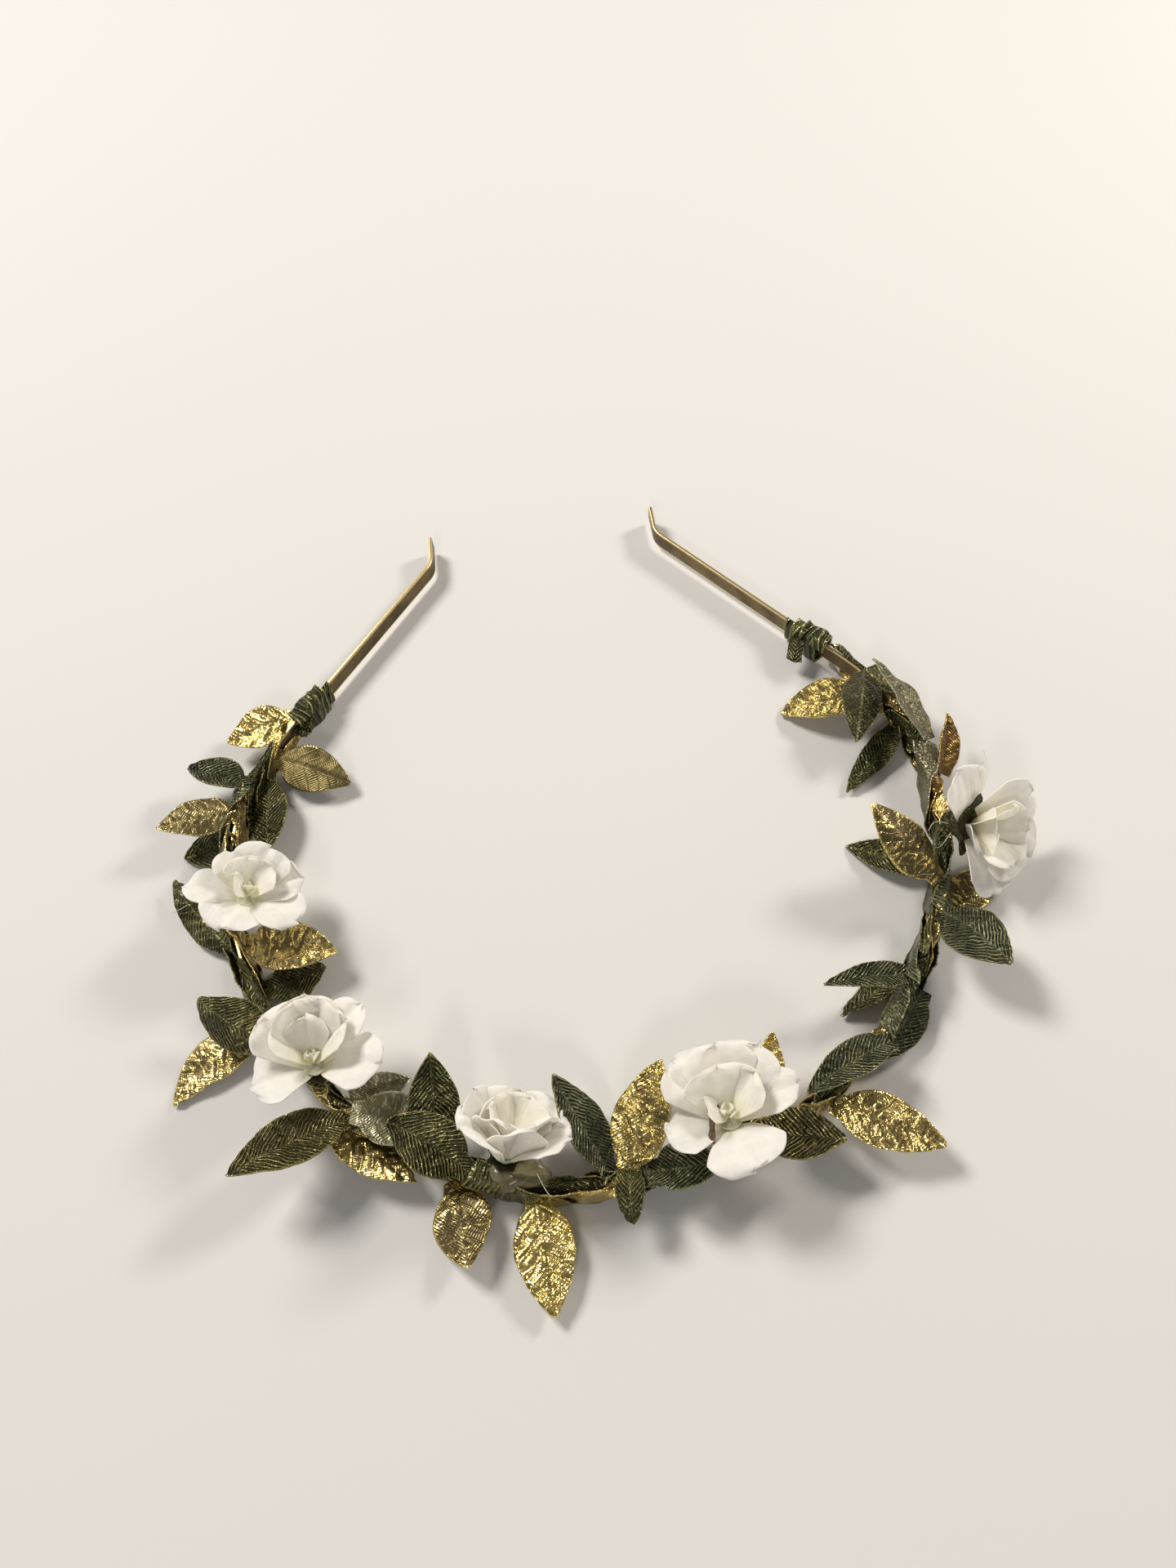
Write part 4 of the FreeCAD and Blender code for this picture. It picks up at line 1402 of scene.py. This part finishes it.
print(len(flowers), "flowers,", petal_count, "petals")

# %% [markdown]
# ## Making the flowers
# For each ring the size of the cloth that it was cut from is printed: twice the longest petal with
# the hub, and the area of the petals' upper faces. The heart is three tiny rolled petals whose rows
# come from smooth noise, so each flower gets its own.


# %% Make the flowers
def declare_sheet(ring, rows, start):
    """Prints the size of the cloth that a petal ring was cut from."""
    cut = sum(p.area for p in ring.data.polygons) / 2
    across = 2 * (start + max(row[1] for row in rows)) * MM
    min(cut, across * across)
    print(ring.name, "cut", round(across / MM, 1), "mm across, area", round(cut / MM ** 2), "mm2")


frames = {name: flower_frame(name, heading, rise)
          for name, (heading, rise, _, _) in flowers.items()}
wide_start, inner_start = 0.9, 0.4
for seed, (name, (_, _, wide_rows, inner_rows)) in enumerate(flowers.items(), 1):
    wide = petal_ring(name + "_wide_petals", name + "_outer", petal_white, frames[name], wide_start,
                      2.5, wide_rows, 11 * seed)
    inner = petal_ring(name + "_inner_petals", name + "_inner", petal_inner, frames[name],
                       inner_start, 4.0, inner_rows, 11 * seed + 5, cup=0.42, ruffle=0.5)
    heart_rows = [(120 * k + 25 * ripple_at(k, seed, 2), 2.6 + 0.6 * ripple_at(k, 1, seed), 2.6, 88,
                   70 + 14 * ripple_at(k, 2, seed)) for k in range(3)]
    petal_ring(name + "_heart", name + "_bud", heart_cloth, frames[name], 0.15, 4.6, heart_rows,
               seed * 9, slot="flower_heart", cup=0.7, ruffle=0.4, rows=14, cols=13)
    declare_sheet(wide, wide_rows, wide_start)
    declare_sheet(inner, inner_rows, inner_start)

# %% [markdown]
# ## Green cups
# A moulded cup with five short teeth holds each flower together and is glued to the ribbon. It is
# a turned shape, so it is made of rings of points, and the top rings rise and fall into teeth. A
# lathe-like spin would need the teeth to be cut afterwards.


# %% Turned shapes
def ringed_mesh(name, rings):
    """A closed mesh from rings of points in mm, with both ends capped."""
    count = len(rings[0])
    spots = [tuple(np.array(p) * MM) for ring in rings for p in ring]
    faces = [(r * count + c, r * count + (c + 1) % count, (r + 1) * count + (c + 1) % count,
              (r + 1) * count + c) for r in range(len(rings) - 1) for c in range(count)]
    faces += [tuple(range(count)), tuple(range((len(rings) - 1) * count, len(rings) * count))]
    mesh = bpy.data.meshes.new(name)
    mesh.from_pydata(spots, [], faces)
    mesh.uv_layers.new(name="UVMap")
    mesh.polygons.foreach_set("use_smooth", [True] * len(mesh.polygons))
    return mesh


teeth, cup_sides = 5, 40
cup_turns = [2 * math.pi * index / cup_sides for index in range(cup_sides)]
print("a cup has", cup_sides, "sides and", teeth, "teeth")

# %% [markdown]
# The cup's profile is a list of radius, height and how far the teeth reach there. A pale throat
# fills the middle of the flower above it, so that no gap shows between the petals.


# %% Cups and throats
def flower_cup(name, place, size):
    """A cup with five teeth, larger for the flower that shows its side."""
    foot, axis, right, back = place
    profile = [(1.0, -0.5, 0), (1.3, 0.2, 0), (1.5, 1.2, 0), (2.0, 2.0, 0), (2.6, 2.5, 0.3),
               (3.3, 2.7, 1.0), (3.1, 2.85, 1.0), (2.0, 2.75, 0.2), (0.4, 2.5, 0)]
    rings = []
    for radius, height, tooth in profile:
        ring = []
        for turn in cup_turns:
            wave = tooth * (0.5 + 0.5 * math.cos(teeth * turn)) ** 1.5
            wide = (radius + 1.3 * wave - 0.9 * tooth) * size
            ring.append(foot + axis * (height * size + 0.35 * wave * size)
                        + (right * math.cos(turn) + back * math.sin(turn)) * wide)
        rings.append(ring)
    cup = ringed_mesh(name + "_cup", rings)
    settle(new_piece(name + "_cup", cup, satins["deep"]), "green_leaf")


def flower_throat(name, place):
    foot, axis, right, back = place
    profile = ((0.3, 2.6), (1.6, 2.8), (2.1, 3.7), (1.95, 3.8), (1.3, 3.5), (0.3, 3.7))
    rings = [[foot + axis * (height + 0.12 * math.sin(teeth * turn))
              + (right * math.cos(turn) + back * math.sin(turn)) * radius for turn in cup_turns]
             for radius, height in profile]
    throat = ringed_mesh(name + "_throat", rings)
    settle(new_piece(name + "_throat", throat, heart_cloth), "petal")


for name, place in frames.items():
    flower_cup(name, place, 1.7 if name == "flower_5" else 1.0)
    flower_throat(name, place)
print(len(frames), "cups and throats")

# %% [markdown]
# ## Drops of glue
# The crown was glued by hand. A clouded drop holds one flower and a smaller one sits under
# another. A drop is a sphere, pulled to three radii and swollen unevenly by noise, in a material
# that lets most of the light through. A perfect sphere would read as a bead.


# %% Glue
def by_flower(name, to_right, to_back, up):
    """A place in mm near a flower, measured in that flower's frame."""
    foot, axis, right, back = frames[name]
    return foot + right * to_right + back * to_back + axis * up


def glue_drop(name, centre, radii, seed):
    drop = bmesh.new()
    bmesh.ops.create_icosphere(drop, subdivisions=4, radius=1.0)
    unevenness = 0.28
    for corner in drop.verts:
        swell = 1 + unevenness * noise.noise(corner.co * 1.3 + Vector((seed, 0, 0)))
        corner.co = Vector(c * r * swell for c, r in zip(corner.co, radii)) + Vector(centre)
        corner.co *= MM
    mesh = bpy.data.meshes.new(name)
    drop.to_mesh(mesh)
    drop.free()
    mesh.polygons.foreach_set("use_smooth", [True] * len(mesh.polygons))
    settle(new_piece(name, mesh, glue_clear), "petal")


glue_clear, tree, surface = finish("glue_clear", 0.18, Transmission_Weight=0.65, IOR=1.42)
fill_all(tree, surface, Normal=bump(noise_at(object_place(tree), 500.0), 0.2),
         Base_Color=blend_colour(mottle(tree, 600), (0.52, 0.47, 0.27), (0.30, 0.27, 0.13)))
glue_drop("glue_flower_3", by_flower("flower_3", 3.0, -1.0, 0.8), (5.0, 2.6, 2.2), 3)
glue_drop("glue_flower_5", by_flower("flower_5", 0.3, 0.4, 0.2), (1.9, 1.9, 1.6), 5)
print("2 drops of glue")

# %% [markdown]
# ## A stalk and loose threads
# A dry brown stalk shows between two petals, and a few threads have come loose from the cloth.
# Both are thin rods along a smooth curve through a few points. A bevelled curve would give the
# rods too, but rings of points make it easy to swell the stalk with noise.


# %% Rods
def smooth_point(points, share):
    """A point of a smooth curve through points, with the direction of its leg."""
    k = min(int(share), len(points) - 2)
    before, after = points[max(k - 1, 0)], points[min(k + 2, len(points) - 1)]
    t = share - k
    a, b = points[k], points[k + 1]
    spot = 0.5 * ((2 * a) + (b - before) * t + (2 * before - 5 * a + 4 * b - after) * t * t
                  + (3 * a - before - 3 * b + after) * t ** 3)
    return spot, (b - a).normalized()


def rod(name, points, radii, material, material_slot, sides=9, steps=28, knobs=0.0):
    """A thin round rod along a smooth curve through points in mm."""
    points = [Vector(p) for p in points]
    turns = [2 * math.pi * n / sides for n in range(sides)]
    rings = []
    for step in range(steps + 1):
        share = step / steps * (len(points) - 1)
        spot, ahead = smooth_point(points, share)
        side = ahead.cross(Vector((0.2, 0.1, 1))).normalized()
        upper = ahead.cross(side)
        radius = np.interp(share, range(len(radii)), radii)
        radius *= 1 + knobs * ripple_at(share * 3, 0.5, len(points))
        rings.append([tuple(spot + (side * math.cos(turn) + upper * math.sin(turn)) * radius)
                      for turn in turns])
    settle(new_piece(name, ringed_mesh(name, rings), material), material_slot)


stalk_brown, tree, surface = finish("stalk_brown", 0.7)
fill_all(tree, surface, Normal=bump(mottle(tree, 1400), 0.12),
         Base_Color=blend_colour(mottle(tree, 900), (0.16, 0.09, 0.045), (0.07, 0.04, 0.02)))
stalk_points = ((-1.6, 1.0, 6.6), (-2.6, 0.6, 6.8), (-2.9, -1.4, 6.0), (-3.6, -4.2, 4.6))
rod("dry_stalk", [by_flower("flower_4", *point) for point in stalk_points], [0.75, 0.6, 0.45, 0.6],
    stalk_brown, "green_leaf", knobs=0.35)
print("1 dry stalk")

# %% [markdown]
# ## Loose ends of the coils
# The ribbon that ties off each leg ends in a short tail with a slanting cut. The tail hangs on
# its own, away from the band, so it is walked like a leaf and not wound by the ribbon tree.


# %% Ribbon ends
def ribbon_end(name, start, heading, rise, curl, sway, length, width, seed, rows=30, cols=9):
    """A short loose end of ribbon with a slanting cut."""
    places, sides, uppers = walk(heading, rise, 20, curl, sway, length)
    points, chart = np.zeros((rows, cols, 3)), np.zeros((rows, cols, 2))
    for r in range(rows):
        share = r / (rows - 1)
        for c in range(cols):
            u = 2 * c / (cols - 1) - 1
            cut = min(1.0, share * (1 + 0.12 * u)) * WALK_STEPS
            spot = [np.interp(cut, range(WALK_STEPS + 1), places[:, k]) for k in range(3)]
            side, upper = sides[int(cut)], uppers[int(cut)]
            puff = 0.5 * ripple_at(share * length, u * 2, seed, 0.5) + 0.25 * u * u
            points[r, c] = np.array(spot) + side * u * width / 2 + upper * puff + np.array(start)
            chart[r, c] = u * width / 20, share * length / 10
    mesh = cloth_mesh(name, [closed_sheet(points, chart, 0.22)])
    settle(new_piece(name, mesh, satins["ribbon"]), "green_ribbon")


knot_ends = {"knot_end_left": (-144.5, -118, -20, 20, 12, 6.0, 3.0, 4),
             "knot_end_right": (147.0, -122, 6, -40, 20, 6.5, 3.2, 7)}
for name, (station, *shape) in knot_ends.items():
    centre, normal, _ = band_at(station * MM)
    ribbon_end(name, np.array(centre - normal * 0.9 * MM) / MM + np.array([0, 0, 1.4]), *shape)
print(len(knot_ends), "loose ends")

# %% [markdown]
# ## Threads
# Each thread is a rod a tenth of a millimetre thick, given by three points in the frame of the
# flower beside it. Few are needed: more of them would look like fur.

# %% Threads
thread_white, tree, surface = finish("thread_white", 0.8)
fill_all(tree, surface,
         Base_Color=blend_colour(mottle(tree, 900), (0.78, 0.75, 0.66), (0.62, 0.60, 0.50)))
threads = [("flower_5", (-3.0, 1.0, 1.5), (-5.5, 2.0, 0.5), (-7.2, 0.8, 0.2)),
           ("flower_5", (-2.5, -1.0, 1.8), (-4.6, -3.0, 1.0), (-6.6, -2.6, 0.8)),
           ("flower_5", (1.5, 11.0, 5.0), (2.8, 12.4, 5.6), (3.0, 14.0, 5.2)),
           ("flower_1", (-10.5, -1.5, 2.5), (-12.5, -3.0, 2.2), (-13.5, -2.4, 1.6)),
           ("flower_3", (5.0, -4.0, 4.0), (6.5, -6.0, 3.0), (7.4, -7.5, 2.9))]
for number, (name, *route) in enumerate(threads, 1):
    rod("loose_thread_%d" % number, [by_flower(name, *spot) for spot in route],
        [0.07, 0.06, 0.05], thread_white, "petal", sides=6, steps=16)
print(len(threads), "loose threads")

# %% [markdown]
# ## Size of the dressed crown
# The box of the dressed crown is measured beside the box of the CAD model, so that the two can be
# compared.

# %% Sizes
low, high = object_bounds()
print("dressed crown", [round(s / MM, 1) for s in high - low], "mm")
